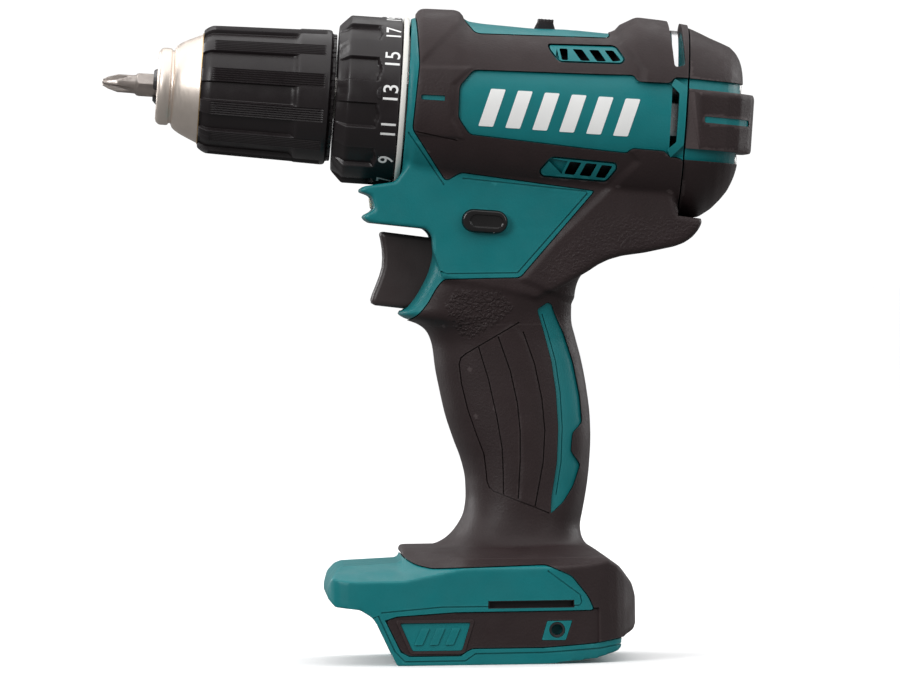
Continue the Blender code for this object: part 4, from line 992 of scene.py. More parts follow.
@dataclass
class Studio:
    """Pale floor, soft lights and the camera."""

    aim: tuple[float, float, float] = (5.6, 0.0, 93.0)
    distance: float = 2500.0
    azimuth: float = -1.8
    elevation: float = 0.6
    roll: float = 0.75
    lens: float = 346.0
    sensor: float = 36.0
    floor_size: float = 40.0
    sun_power: float = 2.95
    sun_spread: float = 110.0
    world_light: float = 0.22
    world_seen: float = 1.05
    lamps: Sequence[tuple[str, tuple[float, float, float], float, float]] = (
        ("front_left", (-1.3, -1.5, 0.9), 0.8, 20.0), ("front_right", (1.4, -1.4, 0.7), 0.8, 5.5),
        ("back_left", (-1.3, 0.9, 0.6), 1.0, 15.0), ("back_right", (1.35, 0.8, 0.5), 1.0, 8.5),
    )

    def camera(self) -> None:
        """Place the camera and turn it to the aim."""
        data = bpy.data.cameras.new("camera")
        data.lens = self.lens
        data.sensor_width = self.sensor
        data.clip_start = 0.05
        data.clip_end = 60.0
        obj = bpy.data.objects.new("camera", data)
        bpy.context.scene.collection.objects.link(obj)
        a, e, r = (math.radians(v) for v in (self.azimuth, self.elevation, self.roll))
        back = Vector((math.sin(a) * math.cos(e), -math.cos(a) * math.cos(e), math.sin(e)))
        right = Vector((0, 0, 1)).cross(back).normalized()
        up = back.cross(right)
        right, up = right * math.cos(r) - up * math.sin(r), up * math.cos(r) + right * math.sin(r)
        turn = Matrix((right, up, back)).transposed().to_4x4()
        obj.matrix_world = Matrix.Translation((Vector(self.aim) + back * self.distance) * MM) @ turn
        bpy.context.scene.camera = obj

    def lamp(self, name: str, place: Sequence[float], size: float, power: float) -> None:
        """Hang a square soft light that looks at the drill's middle; place and size are in metres."""
        data = bpy.data.lights.new(name, "AREA")
        data.shape = "SQUARE"
        data.size = size
        data.energy = power
        obj = bpy.data.objects.new(name, data)
        bpy.context.scene.collection.objects.link(obj)
        obj.location = place
        obj.rotation_euler = (Vector(place) - Vector((0, 0, 0.1))).to_track_quat("Z", "Y").to_euler()

    def sky(self) -> None:
        """Light everything evenly from above with a very wide soft source."""
        data = bpy.data.lights.new("sky", "SUN")
        data.energy = self.sun_power
        data.angle = math.radians(self.sun_spread)
        obj = bpy.data.objects.new("sky", data)
        bpy.context.scene.collection.objects.link(obj)

    def build(self) -> None:
        """Set up floor, lights, surroundings and camera."""
        self.camera()
        deselect()
        bpy.ops.mesh.primitive_plane_add(size=self.floor_size)
        floor = bpy.context.object
        floor.name = "floor"
        floor.data.materials.append(FLOOR.material())
        floor.visible_diffuse = False
        floor.visible_glossy = False
        self.sky()
        for name, place, size, power in self.lamps:
            self.lamp(name, place, size, power)
        self.surroundings()

    def surroundings(self) -> None:
        """Surround the drill with a dim even light, which the camera sees as a white wall."""
        world = bpy.data.worlds.new("surroundings")
        world.use_nodes = True
        tree = world.node_tree
        tree.nodes["Background"].inputs["Color"].default_value = (1.0, 1.0, 1.0, 1.0)
        ray = tree.nodes.new("ShaderNodeLightPath")
        reach = tree.nodes.new("ShaderNodeMapRange")
        reach.inputs["To Min"].default_value = self.world_light
        reach.inputs["To Max"].default_value = self.world_seen
        tree.links.new(ray.outputs["Is Camera Ray"], reach.inputs["Value"])
        tree.links.new(reach.outputs["Result"], tree.nodes["Background"].inputs["Strength"])
        bpy.context.scene.world = world
        bpy.context.scene.view_settings.view_transform = "Standard"


# ---------------------------------------------------------------- chuck

def smooth_step(value: np.ndarray) -> np.ndarray:
    """Ease from 0 to 1."""
    t = np.clip(value, 0.0, 1.0)
    return t * t * (3.0 - 2.0 * t)


def turned_relief(name: str, profile: Sequence[Point], angles: np.ndarray,
                  relief: Callable[[np.ndarray, float, float], np.ndarray]) -> Obj:
    """Make a ring whose radius changes round the axis.

    Args:
        name: the object's name.
        profile: closed loop of (s, radius) points.
        angles: angles of the columns, in radians.
        relief: takes angles, s and radius and returns how far the skin is sunk.

    Returns:
        The mesh object in the frame of the axis.
    """
    rings = []
    for s, radius in list(profile) + [profile[0]]:
        reach = radius - relief(angles, s, radius)
        rings.append([(r * math.cos(a), r * math.sin(a), s) for r, a in zip(reach, angles)])
    return loft(name, rings, tube=True)


@dataclass
class Chuck:
    """Nose ring and fluted sleeve of the keyless chuck, and the bit."""

    flutes: int = 12
    flute_half: float = 9.0
    flute_depth: float = 1.15
    flute_start: float = 37.6
    flute_end: float = 63.1
    grooves: int = 6
    groove_depth: float = 0.30
    nose_profile: Outline = (
        (8.5, 78.3), (9.6, 78.3), (10.4, 78.0), (11.0, 77.3), (11.15, 76.8), (11.15, 75.0), (11.0, 74.6),
        (10.6, 74.4), (10.5, 74.1), (10.6, 73.8), (11.4, 73.5), (11.9, 73.2), (12.5, 72.5), (13.2, 71.4), (13.8, 70.2),
        (14.5, 68.7), (15.1, 67.3), (15.6, 66.2), (15.75, 65.8), (15.75, 64.5), (14.8, 64.5), (14.8, 66.5),
        (11.3, 72.3), (8.7, 75.6), (8.5, 76.2),
    )
    sleeve_profile: Outline = (
        (65.5, 16.4), (65.7, 16.7), (65.6, 17.1), (65.2, 17.5), (64.4, 18.05), (63.6, 18.45), (63.1, 18.62),
        (62.6, 18.66), (62.0, 18.68), (61.5, 18.70), (61.0, 18.72), (58.0, 18.8), (54.0, 18.9), (50.0, 19.0),
        (46.0, 19.1), (42.0, 19.2), (40.0, 19.25), (39.3, 19.27), (38.6, 19.29), (38.0, 19.3), (37.6, 19.31),
        (37.0, 19.32), (34.0, 19.4), (31.4, 19.47), (31.0, 19.48), (30.6, 19.49), (30.2, 19.5), (29.5, 19.46),
        (29.0, 19.3), (28.75, 19.0), (28.6, 18.5), (28.2, 18.3), (27.5, 18.3), (27.35, 18.0), (27.35, 16.6),
        (27.6, 16.4),
    )

    def sleeve_angles(self) -> np.ndarray:
        """List the columns: few over a flute, many over its neighbouring grooves."""
        half = self.flute_half
        sector = [-half, -half + 0.35, -half + 0.8, -half + 1.3, -5.5, -2.5, 0.0, 2.5, 5.5, half - 1.3, half - 0.8,
                  half - 0.35]
        width = 360.0 / self.flutes - 2 * half
        steps = self.grooves * 6
        sector += [half + width * k / steps for k in range(steps)]
        turns = [(360.0 / self.flutes) * k + a for k in range(self.flutes) for a in sector]
        return np.radians(np.array(turns) - 92.0)

    def sleeve_relief(self, angles: np.ndarray, s: float, radius: float) -> np.ndarray:
        """Tell how far the sleeve's skin is sunk by its flutes and fine grooves."""
        if radius < 17.0 or s < 29.2:
            notch = 0.22 * (np.sin(angles * 60) > 0.2) if 27.4 < s < 28.4 and radius > 18.0 else 0.0
            return np.zeros(len(angles)) + notch
        pitch = 360.0 / self.flutes
        local = (np.degrees(angles) + 92.0 + self.flute_half) % pitch - self.flute_half
        edge = smooth_step((self.flute_half - np.abs(local)) / 1.0)
        ends = smooth_step(np.array((s - self.flute_start) / 2.0)) * (1.0 if s < self.flute_end + 3 else 0.0)
        flute = self.flute_depth * edge * ends
        width = pitch - 2 * self.flute_half
        across = (local - self.flute_half) / width
        wave = 0.5 - 0.5 * np.cos(2 * math.pi * self.grooves * across)
        fine = np.where((across > 0) & (across < 1), self.groove_depth * np.sqrt(wave), 0.0)
        fine = fine * float(30.4 < s < 62.2)
        return flute + fine

    def bit_section(self, angle: float, s: float) -> float:
        """Return the bit's radius at an angle and a place: hexagon, neck or cross point."""
        wedge = (angle + math.pi / 6) % (math.pi / 3) - math.pi / 6
        hexagon = 3.175 / math.cos(wedge)
        if s < 83.6:
            return min(hexagon, 3.6)
        if s < 84.6:
            return min(hexagon, 3.6 - (s - 83.6) * 0.9)
        neck = float(np.interp(s, [84.6, 86.0, 89.6, 92.4, 94.12], [2.7, 2.62, 2.60, 1.75, 0.85]))
        root = float(np.interp(s, [84.6, 86.5, 90.0, 94.12], [2.7, 2.15, 1.15, 0.45]))
        blade = (angle + math.pi / 4) % (math.pi / 2) - math.pi / 4
        half = float(np.interp(s, [84.6, 86.5, 94.12], [2.4, 1.15, 0.36]))
        return max(root, min(neck, half / max(abs(math.sin(blade)), 1e-4)))

    def bit(self) -> None:
        """Pull the bit from its hexagon shank to its cross point."""
        places = [54.0, 54.4, 82.6, 83.6, 84.0, 84.6, 85.2, 85.9, 86.6, 87.4, 88.2, 89.0, 89.6, 90.2, 90.9, 91.7, 92.4,
                  93.0, 93.6, 93.95, 94.12]
        rings = []
        for s in places:
            shrink = 0.86 if s in (54.0, 94.12) else 1.0
            rings.append([(shrink * self.bit_section(a, s) * math.cos(a),
                           shrink * self.bit_section(a, s) * math.sin(a), s)
                          for a in (2 * math.pi * k / 144 for k in range(288))])
        made = loft("bit", rings)
        made.data.transform(Matrix.Rotation(math.radians(4), 4, "Z"))
        done(to_axis(made), BIT_STEEL, Body.BIT, "screwdriver_bit", angle=28)

    def build(self) -> None:
        """Build the nose, sleeve and bit."""
        self.bit()
        nose = turned("chuck_nose_ring", self.nose_profile, 144, closed=True)
        done(to_axis(nose), NOSE, Body.SPINDLE, "chuck_nose", angle=30)
        line = turned("nose_shadow_line", [(15.0, 65.95), (15.95, 65.95), (16.2, 65.7), (16.2, 65.0), (15.0, 65.0)],
                      96, closed=True)
        done(to_axis(line), BRONZE, Body.SPINDLE, angle=30)
        sleeve = turned_relief("grip_sleeve", self.sleeve_profile, self.sleeve_angles(), self.sleeve_relief)
        done(to_axis(sleeve), BLACK, Body.SLEEVE, "chuck_sleeve", angle=32)


# ---------------------------------------------------------------- torque ring

@dataclass
class TorqueRing:
    """Torque ring with grip pockets and numbers, and the pale trim ring behind it."""

    pads: int = 11
    phase: float = -85.1
    radius: float = 24.3
    pocket: float = 1.2
    numbers: Sequence[int] = (1, 3, 5, 7, 9, 11, 13, 15, 17, 19, 21)
    spacing: float = 24.4
    digit_size: float = 6.1
    profile: Outline = (
        (26.8, 20.7), (26.6, 21.1), (26.2, 21.6), (25.6, 22.2), (25.0, 22.8), (24.4, 23.4), (23.9, 23.9),
        (23.5, 24.2), (23.1, 24.3), (22.0, 24.3), (20.0, 24.3), (18.0, 24.3), (16.2, 24.3), (15.6, 24.3),
        (15.1, 24.3), (14.6, 24.3), (14.2, 24.3), (13.8, 24.3), (13.4, 24.3), (11.0, 24.3), (9.4, 24.3),
        (9.0, 24.15), (8.85, 23.9), (8.8, 20.4), (10.0, 20.3), (24.4, 20.3), (24.6, 20.0), (24.6, 17.0),
        (24.8, 16.8), (26.2, 16.8), (26.5, 17.1), (26.8, 18.0),
    )

    def relief(self, angles: np.ndarray, s: float, radius: float) -> np.ndarray:
        """Tell how far the skin is sunk between the pads."""
        if radius < 21.5:
            return np.zeros(len(angles))
        pitch = 360.0 / self.pads
        local = (np.degrees(angles) - self.phase + pitch / 2) % pitch - pitch / 2
        rear = 13.9 + 0.9 * smooth_step((np.abs(np.abs(local) - pitch / 2)) / 7.0)
        along = smooth_step((s - rear) / 1.0)
        across = smooth_step((np.abs(local) - 7.4) / 1.3)
        front = 1.0 if s < 24.2 else max(0.35, 1.0 - (s - 24.2) / 3.0)
        chamfer = 0.55 * np.clip((s - 23.2) / 1.5, 0, 1) * smooth_step((4.0 - np.abs(local)) / 1.5)
        return self.pocket * along * across * front + chamfer * 0.5

    def ring(self) -> None:
        """Pull the ring with its pockets."""
        pitch = 360.0 / self.pads
        sector = [-pitch / 2 + 1.2 * k for k in range(int(pitch / 1.2))]
        sector = sorted(set(sector + [-8.7, -8.3, -7.9, -7.4, 7.4, 7.9, 8.3, 8.7]))
        angles = np.radians([self.phase + pitch * k + a for k in range(self.pads) for a in sector])
        made = turned_relief("torque_collar", self.profile, angles, self.relief)
        done(to_axis(made), BLACK, Body.TORQUE_RING, "torque_ring", angle=32)

    def wrap(self, obj: Obj, angle: float, s: float) -> None:
        """Lay a flat mesh drawn in X and Y round the ring, its top towards the nose."""
        place = coords(obj)
        turn = math.radians(angle) + place[:, 0] / self.radius
        reach = self.radius + place[:, 2]
        along = s + place[:, 1]
        set_coords(obj, np.stack((reach * np.sin(turn), -reach * np.cos(turn), along), axis=1))

    def digits(self) -> None:
        """Print the odd numbers round the ring."""
        made = []
        for k, number in enumerate(self.numbers):
            angle = 4.2 + self.spacing * (k - 6)
            deselect()
            bpy.ops.object.text_add()
            text = bpy.context.object
            text.data.body = str(number)
            text.data.size = self.digit_size * MM
            text.data.align_x = "CENTER"
            text.data.extrude = 0.05 * MM
            text.data.space_character = 0.95
            text.data.offset = 0.03 * MM
            bpy.ops.object.convert(target="MESH")
            self.wrap(text, angle, 9.35)
            made.append(text)
        numbers = joined("torque_numbers", made)
        done(to_axis(numbers), PRINT, Body.TORQUE_RING, angle=20)

    def tick(self) -> None:
        """Raise the small ribbed half-round mark beside a number."""
        outline = [(1.9 * math.cos(math.pi * k / 14), 1.3 * math.sin(math.pi * k / 14)) for k in range(15)]
        mark = slab("ring_mark", outline, -0.3, 0.32, "Z")
        bevel(mark, 0.15, 2, 50)
        modify(mark, "SUBSURF", levels=1, render_levels=1, subdivision_type="SIMPLE")
        ribs = [mark]
        for k in range(4):
            rib = slab("rib", [(-1.3 + 0.75 * k, 0.15), (-1.0 + 0.75 * k, 0.15), (-1.0 + 0.75 * k, 1.0),
                               (-1.3 + 0.75 * k, 1.0)], 0.2, 0.42, "Z")
            ribs.append(rib)
        whole = joined("ring_mark", ribs)
        self.wrap(whole, 4.2, 14.1)
        done(to_axis(whole), BLACK, Body.TORQUE_RING, angle=30)

    def build(self) -> None:
        """Build the ring, its print and the trim ring."""
        self.ring()
        self.digits()
        self.tick()
        profile = [(21.2, 8.5), (24.1, 8.5), (24.4, 8.42), (24.55, 8.2), (24.6, 7.9), (24.6, 7.3), (24.5, 7.05),
                   (24.3, 6.95), (21.2, 6.95)]
        trim = turned("pale_trim_ring", profile, 180, closed=True)
        done(to_axis(trim), WHITE, Body.DRILL, "trim_ring", angle=40)


# ---------------------------------------------------------------- rear cover

@dataclass
class RearCover:
    """Motor cover: a teal dome with three dark pads over it and two screws."""

    voxel: float = 0.7
    teal_depth: float = 0.9
    wall: float = 2.1
    pad_depth: float = 2.0
    stations: Sequence[tuple[float, float, float, float]] = (
        (-71.0, 27.2, 27.5, 28.3), (-73.85, 27.0, 27.65, 28.2), (-77.0, 25.8, 27.85, 27.9),
        (-80.1, 24.5, 27.3, 27.0), (-83.5, 23.3, 24.8, 25.6), (-86.0, 22.3, 22.0, 23.6), (-87.8, 20.7, 19.5, 21.3),
        (-88.8, 19.2, 17.3, 19.2), (-89.5, 17.6, 15.4, 17.2), (-90.0, 15.6, 13.4, 15.0), (-90.25, 12.5, 11.0, 12.0),
    )
    top_edge: Outline = ((73.0, 166.7), (96.0, 164.3))
    mid_top: Outline = ((73.0, 163.7), (96.0, 161.2))
    mid_bottom: Outline = ((72.0, 146.6), (96.0, 144.4))
    low_edge: Outline = ((72.0, 143.3), (96.0, 141.2))

    def dome(self) -> Obj:
        """Loft the dome to the rear."""
        stations = np.array(self.stations)
        rings = []
        for s in np.unique(np.concatenate((np.arange(-90, -71, 1.2), stations[:, 0])))[::-1]:
            up, down, side = (np.interp(-s, -stations[:, 0], stations[:, k]) for k in (1, 2, 3))
            rings.append([(u, v, s) for u, v in oval(up, down, side, 2.15, 128)])
        return to_axis(loft("dome", rings))

    def middle(self) -> Obj:
        """Shape the middle pad's block, which reaches furthest back."""
        half = [(-71.0, 28.3), (-80.0, 28.0), (-85.0, 26.8), (-89.0, 24.0), (-92.3, 19.4), (-93.3, 15.0)]
        plan = [(s, -y) for s, y in half] + [(-93.42, 0.0)] + half[::-1]
        made = slab("middle", [(-s, y) for s, y in plan], -9.2, 9.0, "Z")
        bevel(made, 1.6, 4, 50)
        made.data.transform(AXIS @ Matrix.Rotation(math.pi / 2, 4, "Y"))
        return made

    def shell(self, dome: Obj, seam: Obj) -> None:
        """Hollow the teal dome and part it from the housing."""
        teal = grown(dome, -self.teal_depth, "cover_shell")
        room = grown(dome, -self.teal_depth - self.wall, "cover_room")
        combine(room, to_axis(rod("front", 25.0, (0, 0, -70), (0, 0, -77), 64)), Step.JOIN)
        combine(teal, room, Step.CUT)
        combine(teal, seam, Step.CUT, keep_tool=True)
        done(teal, TEAL, Body.DRILL, "rear_cover", angle=40)

    def facets(self, pad: Obj) -> None:
        """Step the middle pad's two front corners down to the housing, and open the slot of its inlay."""
        outline = [(70.0, -40.0), (79.6, -40.0), (79.6, -28.4), (74.0, -27.5), (70.0, -27.4)]
        for turn in (1, -1):
            tool = slab("facet", [(x, turn * y) for x, y in outline], 100, 200, "Z")
            combine(pad, tool, Step.CUT)
        dash = rounded([(78.4, 155.6), (91.6, 154.3), (91.6, 152.5), (78.4, 153.8)], 0.5)
        combine(pad, slab("dash_window", dash, -REACH, REACH), Step.CUT)

    def pad(self, name: str, outline: Outline, whole: Obj, dome: Obj, seam: Obj) -> None:
        """Cut one dark pad out of the cover's form.

        Args:
            name: the piece's name.
            outline: the pad's outline seen from the side.
            whole: the dome with the middle block.
            dome: the dome alone.
            seam: the tool that parts the cover from the housing.
        """
        made = slab(name, outline, -REACH, REACH)
        combine(made, whole, Step.KEEP, keep_tool=True)
        combine(made, grown(dome, -self.pad_depth, "under"), Step.CUT)
        if name == "rear_pad_middle":
            self.facets(made)
        combine(made, seam, Step.CUT, keep_tool=True)
        bevel(made, 0.28, 2, 50)
        done(made, GRIP, Body.DRILL, "rear_cover", angle=40)

    def inlay(self, whole: Obj) -> None:
        """Fill the slot of the middle pad with its thin teal inlay."""
        outline = rounded([(78.3, 155.7), (91.7, 154.4), (91.7, 152.4), (78.3, 153.7)], 0.5)
        made = slab("rear_inlay", outline, -REACH, REACH)
        combine(made, grown(whole, -0.35, "top"), Step.KEEP)
        combine(made, grown(whole, -2.2, "bottom"), Step.CUT)
        done(made, TEAL, Body.DRILL, "rear_cover", angle=40)

    def build(self) -> None:
        """Build the teal dome, the pads, the thin inlay and the screws."""
        dome = self.dome()
        whole = twin(dome, "cover_whole")
        combine(whole, self.middle(), Step.JOIN)
        remeshed(whole, self.voxel)
        remeshed(dome, self.voxel)
        seam = to_axis(rod("seam", 60.0, (0, 0, -60.0), (0, 0, SEAM - 0.12), 32))
        self.shell(dome, seam)
        self.pad("rear_pad_top", [*self.top_edge, (96, 200), (73, 200)], whole, dome, seam)
        self.pad("rear_pad_middle", [*self.mid_bottom, *self.mid_top[::-1]], whole, dome, seam)
        self.pad("rear_pad_low", [*self.low_edge[::-1], (68, 120), (96, 120)], whole, dome, seam)
        self.inlay(whole)
        for form in (whole, dome, seam):
            discard(form)
        self.screws()

    def screws(self) -> None:
        """Set the two cross-recessed screws into the teal bands."""
        for number, up in ((1, 10.1), (2, -10.6)):
            profile = [(0, -87.0), (1.4, -87.0), (1.4, -88.3), (3.0, -88.3), (3.05, -88.6), (3.0, -89.3), (2.5, -89.9),
                       (1.5, -90.2), (0, -90.3)]
            screw = turned(f"cover_screw_{number}", profile, 48)
            for turn in (0, 90):
                cross = block("cross", (-0.35, 0.35), (-1.8, 1.8), (-92, -89.3))
                cross.data.transform(Matrix.Rotation(math.radians(turn + 30), 4, "Z"))
                combine(screw, cross, Step.CUT, solver="EXACT")
            bevel(screw, 0.08, 2, 40)
            screw.data.transform(Matrix.Translation((up * MM, 0, 0)))
            done(to_axis(screw), ZINC, Body.DRILL, f"rear_cover_screw_{number}", angle=35)


# ---------------------------------------------------------------- fittings of the body

@dataclass
class SideFittings:
    """Thin pieces that follow the body's skin: vent frames, air bracket, panel bars, badges and clip pads."""

    form: BodyForm

    def layers(self, name: str, outlines: Sequence[Outline], top: float, bottom: float) -> Obj:
        """Cut several outlines out of one layer of the skin."""
        tools = [slab("field", outline, -REACH, REACH) for outline in outlines]
        made = joined(name, tools) if len(tools) > 1 else tools[0]
        made.name = name
        combine(made, self.form.at(top), Step.KEEP)
        return combine(made, self.form.at(bottom), Step.CUT)

    def halves(self, obj: Obj, finish: Finish, node: str = "") -> None:
        """Part a two-sided layer into its left and right piece and dress them."""
        name = obj.name
        for side, y in (("left", (-90, 0)), ("right", (0, 90))):
            piece = twin(obj, f"{name}_{side}")
            combine(piece, block("keep", (-150, 150), y, (-50, 400)), Step.KEEP)
            nodes = (f"{node}_{side}",) if node else ()
            done(piece, finish, Body.DRILL, *nodes)
        discard(obj)

    def vents(self) -> None:
        """Frame the two vents with their slanted bars, and back them with a black sheet that paints the shade inside
        their slots.
        """
        upper = [[(37.4, 175.7), (39.8, 175.6), (39.8, 172.2), (38.0, 172.3)],
                 [(41.2, 175.5), (44.0, 175.3), (46.2, 171.9), (43.5, 172.0)],
                 [(45.9, 175.2), (48.7, 175.1), (50.8, 171.7), (48.0, 171.8)],
                 [(50.4, 175.0), (52.9, 174.9), (55.0, 171.9), (52.6, 171.6)]]
        lower = [[(39.9, 143.2), (43.2, 142.8), (41.2, 139.3), (38.2, 139.7)],
                 [(44.5, 142.7), (47.7, 142.3), (45.8, 138.8), (42.6, 139.2)],
                 [(49.0, 142.1), (52.1, 141.7), (50.0, 138.3), (47.2, 138.6)]]
        for name, outline, slots in (("upper_vent", UPPER_VENT, upper), ("lower_vent", LOWER_VENT, lower)):
            made = self.form.layer(name, rounded(outline, 0.9), -0.45, -3.2)
            for slot in slots:
                combine(made, slab("slot", rounded(slot, 0.45, 3), -REACH, REACH), Step.CUT)
            x0 = outline[0][0]
            ramp = slab("ramp", [(x0 + 1.2, outline[1][1] - 4 if name == "upper_vent" else 144.6),
                                 (slots[0][3][0] - 0.7, slots[0][3][1]), (slots[0][0][0] - 0.7, slots[0][0][1])],
                        -REACH, REACH)
            combine(ramp, self.form.at(-1.6), Step.CUT)
            combine(made, ramp, Step.CUT)
            self.halves(made, TEAL, "housing")
            # Painted shade: a black sheet behind the vent slots stands for the shade inside the vents.
            painted_shade_sheet = self.form.layer(f"{name}_screen", moved_edges(outline, 0.4), -3.6, -4.4)
            self.halves(painted_shade_sheet, BLACK, "housing")

    def bracket(self) -> None:
        """Shape the raised teal bracket round the side air gap."""
        outline = [(70.2, 166.5), (73.7, 164.1), (72.3, 147.4), (68.5, 143.9), (67.7, 146.2), (70.3, 148.3),
                   (71.4, 162.2), (69.1, 164.7)]
        made = self.form.layer("air_bracket", rounded(outline, 0.4, 3), 0.15, -2.2)
        combine(made, self.form.cover_space(), Step.CUT)
        self.halves(made, TEAL, "housing")

    def shield(self) -> None:
        """Set the bright motor shield that shows in the opening at the top."""
        ring = turned("motor_shield", [(20.0, -68.3), (25.6, -68.3), (26.0, -68.6), (26.0, -70.4), (24.9, -71.6),
                                       (24.7, -72.7), (20.0, -72.7)], 144, closed=True)
        combine(ring, block("keep", (12.0, 40.0), (-40, 40), (-80, -60)), Step.KEEP)
        done(to_axis(ring), BRIGHT, Body.DRILL, angle=35)

    def bars(self) -> None:
        """Lay a plain row of white slanted bars on the side panel."""
        count, step, width, top, bottom, slant = 6, 7.7, 5.2, 5.4, -5.2, 0.36
        outlines = []
        for k in range(count):
            left = 14.5 + step * k
            middle = 158.9 - 0.085 * (left - 14.0)
            outlines.append(rounded([
                (left + slant * top + 1.0, middle + top), (left + width + slant * top, middle + top - 0.3),
                (left + width + slant * bottom, middle + bottom - 0.3), (left + slant * bottom + 1.0, middle + bottom),
            ], 0.35, 2))
        made = self.layers("panel_bars", outlines, -0.88, -1.3)
        self.halves(made, PRINT)

    def shoe_marks(self) -> None:
        """Set the plain badge, its three bars and the clip pad into the shoe's dark band."""
        edging = self.form.layer("badge_frame", rounded(moved_edges(BADGE, 0.9), 1.0), -0.45, -2.6)
        combine(edging, slab("hole", rounded(moved_edges(BADGE, 0.1), 0.7), -REACH, REACH), Step.CUT)
        self.halves(edging, GRIP, "grip")
        plate = self.form.layer("badge_plate", rounded(BADGE, 0.7), -0.95, -2.6)
        self.halves(plate, TEAL, "housing")
        bars = [[(x + 1.6, 10.6), (x + 3.9, 10.6), (x + 1.8, 5.9), (x - 0.5, 5.9)] for x in (-6.4, -2.0, 2.4)]
        self.halves(self.layers("badge_bars", [rounded(b, 0.3, 2) for b in bars], -0.55, -1.2), TEAL)
        way = [(14.4, 16.0), (38.9, 16.0), (38.9, 18.2), (14.4, 18.2)]
        liner = self.form.layer("shoe_slot_liner", way, -0.5, -3.2)
        combine(liner, self.form.space(moved_edges(way, -0.22), -2.6), Step.CUT)
        self.halves(liner, BLACK, "housing")
        made = self.form.layer("clip_pad", rounded(moved_edges(CLIP_PAD, -0.15), 0.4), -0.75, -3.0)
        combine(made, rod("screw_hole", 2.3, (33.9, -60, 9.7), (33.9, 60, 9.7), 40), Step.CUT)
        self.halves(made, TEAL, "housing")
        for side, sign in (("left", -1), ("right", 1)):
            sleeve = turned(f"clip_nut_{side}", [(0, 3.6), (1.5, 3.6), (1.55, 3.2), (1.75, 2.9), (1.55, 2.6),
                                                 (1.75, 2.3), (1.55, 2.0), (1.75, 1.7), (1.55, 1.4), (1.75, 1.1),
                                                 (1.55, 0.8), (1.55, 0.1), (1.65, 0), (2.2, 0), (2.28, 0.15),
                                                 (2.28, 4.0), (0, 4.0)], 32)
            sleeve.data.transform(Matrix.Translation((33.9 * MM, sign * 36.6 * MM, 9.7 * MM))
                                  @ Matrix.Rotation(math.pi / 2 * sign, 4, "X"))
            done(sleeve, DARK_STEEL, Body.DRILL, angle=30)

    def stripe(self) -> None:
        """Raise the thin ridge inside the handle's teal stripe and fill the small front inlay."""
        made = self.form.layer("handle_stripe", rounded(moved_edges(STRIPE, 0.05), 0.5, 2), -0.55, -2.4)
        line = [(31.6, 99.6), (33.4, 93.6), (35.4, 86.0), (36.6, 77.0), (37.1, 67.0), (36.6, 57.0), (35.0, 47.5)]
        groove = slab("groove", ribbon(line, 0.3), -REACH, REACH)
        combine(groove, self.form.at(-0.9), Step.CUT)
        combine(made, groove, Step.CUT)
        self.halves(made, TEAL, "housing")
        dash = self.form.layer("front_inlay", rounded(moved_edges(FRONT_DASH, -0.1), 0.3),
                               -0.35, -2.0)
        self.halves(dash, TEAL, "housing")

    def build(self) -> None:
        """Build every side fitting."""
        self.vents()
        self.bracket()
        self.shield()
        self.bars()
        self.shoe_marks()
        self.stripe()


# ---------------------------------------------------------------- controls

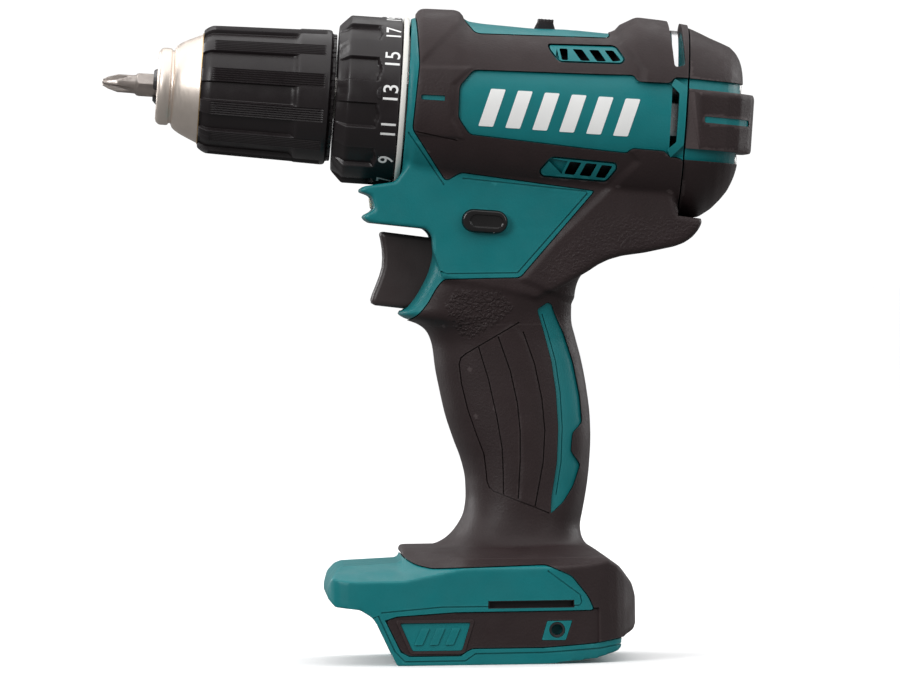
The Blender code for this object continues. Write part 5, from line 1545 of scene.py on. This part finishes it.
@dataclass
class Controls:
    """Trigger, direction button, speed selector cap and lamp."""

    trigger_outline: Outline = (
        (-14.7, 124.0), (-14.1, 121.6), (-13.7, 118.8), (-13.6, 116.2), (-13.8, 113.6), (-14.5, 111.2), (-15.6, 108.4),
        (-16.7, 105.8), (-17.2, 104.2), (-17.0, 103.2), (-16.0, 102.6), (-8.2, 101.6), (2.0, 101.7), (6.0, 102.4),
        (6.0, 121.6), (-1.0, 122.1),
    )

    def trigger(self) -> None:
        """Pull the trigger to its width, round its front and give it its stem."""
        made = slab("trigger_blade", self.trigger_outline, -7.8, 7.8)
        bevel(made, 2.3, 5, 50)
        combine(made, block("hollow", (-4.0, 12.0), (-6.0, 6.0), (104.0, 119.8)), Step.CUT, solver="EXACT")
        combine(made, rod("stem", 2.4, (-6.0, 0, 112.0), (23.0, 0, 112.0), 32), Step.JOIN, solver="EXACT")
        done(made, BROWN_BLACK, Body.TRIGGER, "trigger", angle=40)

    def button(self) -> None:
        """Shape the polished button that crosses the drill, dished at both ends."""
        made = stadium("direction_slider", 15.4, 126.4, 6.45, 3.15, -21.8, 21.8)
        bevel(made, 0.55, 3, 60)
        for low, high in ((-30, -21.2), (21.2, 30)):
            dish = stadium("dish", 15.9, 126.35, 4.7, 1.75, low, high)
            combine(made, dish, Step.CUT, solver="EXACT")
        bevel(made, 0.25, 2, 60)
        done(made, GLOSS_BLACK, Body.BUTTON, "direction_button", angle=35)
        for side, low, high in (("left", -17.6, -13.4), ("right", 13.4, 17.6)):
            collar = stadium(f"button_collar_{side}", 15.4, 126.4, 8.3, 5.0, low, high)
            bevel(collar, 0.4, 2, 60)
            way = stadium("way", 15.4, 126.4, 6.52, 3.22, -40, 40)
            combine(collar, way, Step.CUT, solver="EXACT")
            done(collar, BLACK, Body.DRILL, angle=35)

    def selector(self) -> None:
        """Cap the selector with a ribbed grip."""
        made = block("selector_cap", (24.2, 26.75), (-3.35, 3.35), (-34.6, -30.2))
        for k in range(4):
            groove = block("groove", (26.2, 27.5), (-4, 4), (-34.0 + k * 1.05, -33.6 + k * 1.05))
            combine(made, groove, Step.CUT, solver="EXACT")
        bevel(made, 0.18, 2, 50)
        done(to_axis(made), BLACK, Body.SELECTOR, angle=35)

    def lamp(self) -> None:
        """Shape the clear lamp window with its chip behind."""
        window = slab("lamp_window", [(-17.0, 130.5), (-16.4, 130.4), (-12.2, 130.6), (-12.2, 133.7), (-17.1, 133.8),
                                      (-17.3, 133.4)], -4.9, 4.9)
        bevel(window, 0.35, 3, 50)
        done(window, LENS, Body.DRILL, "lamp_lens", angle=35)
        chip = block("lamp_chip", (-15.4, -14.2), (-1.6, 1.6), (130.9, 133.4))
        bevel(chip, 0.3, 3, 40)
        done(chip, LAMP, Body.DRILL, angle=35)

    def build(self) -> None:
        """Build every control."""
        self.trigger()
        self.button()
        self.selector()
        self.lamp()


# ---------------------------------------------------------------- build

def dress_frame_nodes() -> None:
    """Give every node of the frame that stays a finish of its own."""
    finishes = {"teal_plastic": TEAL, "dark_grip": GRIP, "black_plastic": BLACK, "white_plastic": WHITE,
                "nose_metal": NOSE, "steel": STEEL, "zinc_screw": ZINC, "grey_plastic": GREY, "copper": COPPER,
                "bronze": BRONZE, "magnet": MAGNET, "carbon": CARBON, "clear_lens": LENS}
    for name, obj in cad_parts.items():
        for place in obj.material_slots:
            stem = place.material.name.split(".")[0]
            if name.startswith("chuck_jaw"):
                place.material = DARK_STEEL.material()
            elif name == "motor_can":
                place.material = BRIGHT.material()
            elif stem in finishes:
                place.material = finishes[stem].material()


def main() -> None:
    """Build the drill around its frame."""
    logging.basicConfig(level=logging.INFO, format="%(name)s: %(message)s")
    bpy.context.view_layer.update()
    form = BodyForm()
    Shell(form).build()
    SideFittings(form).build()
    form.clear()
    RearCover().build()
    Chuck().build()
    TorqueRing().build()
    Controls().build()
    dress_frame_nodes()
    Studio().build()


if __name__ == "__main__":
    main()
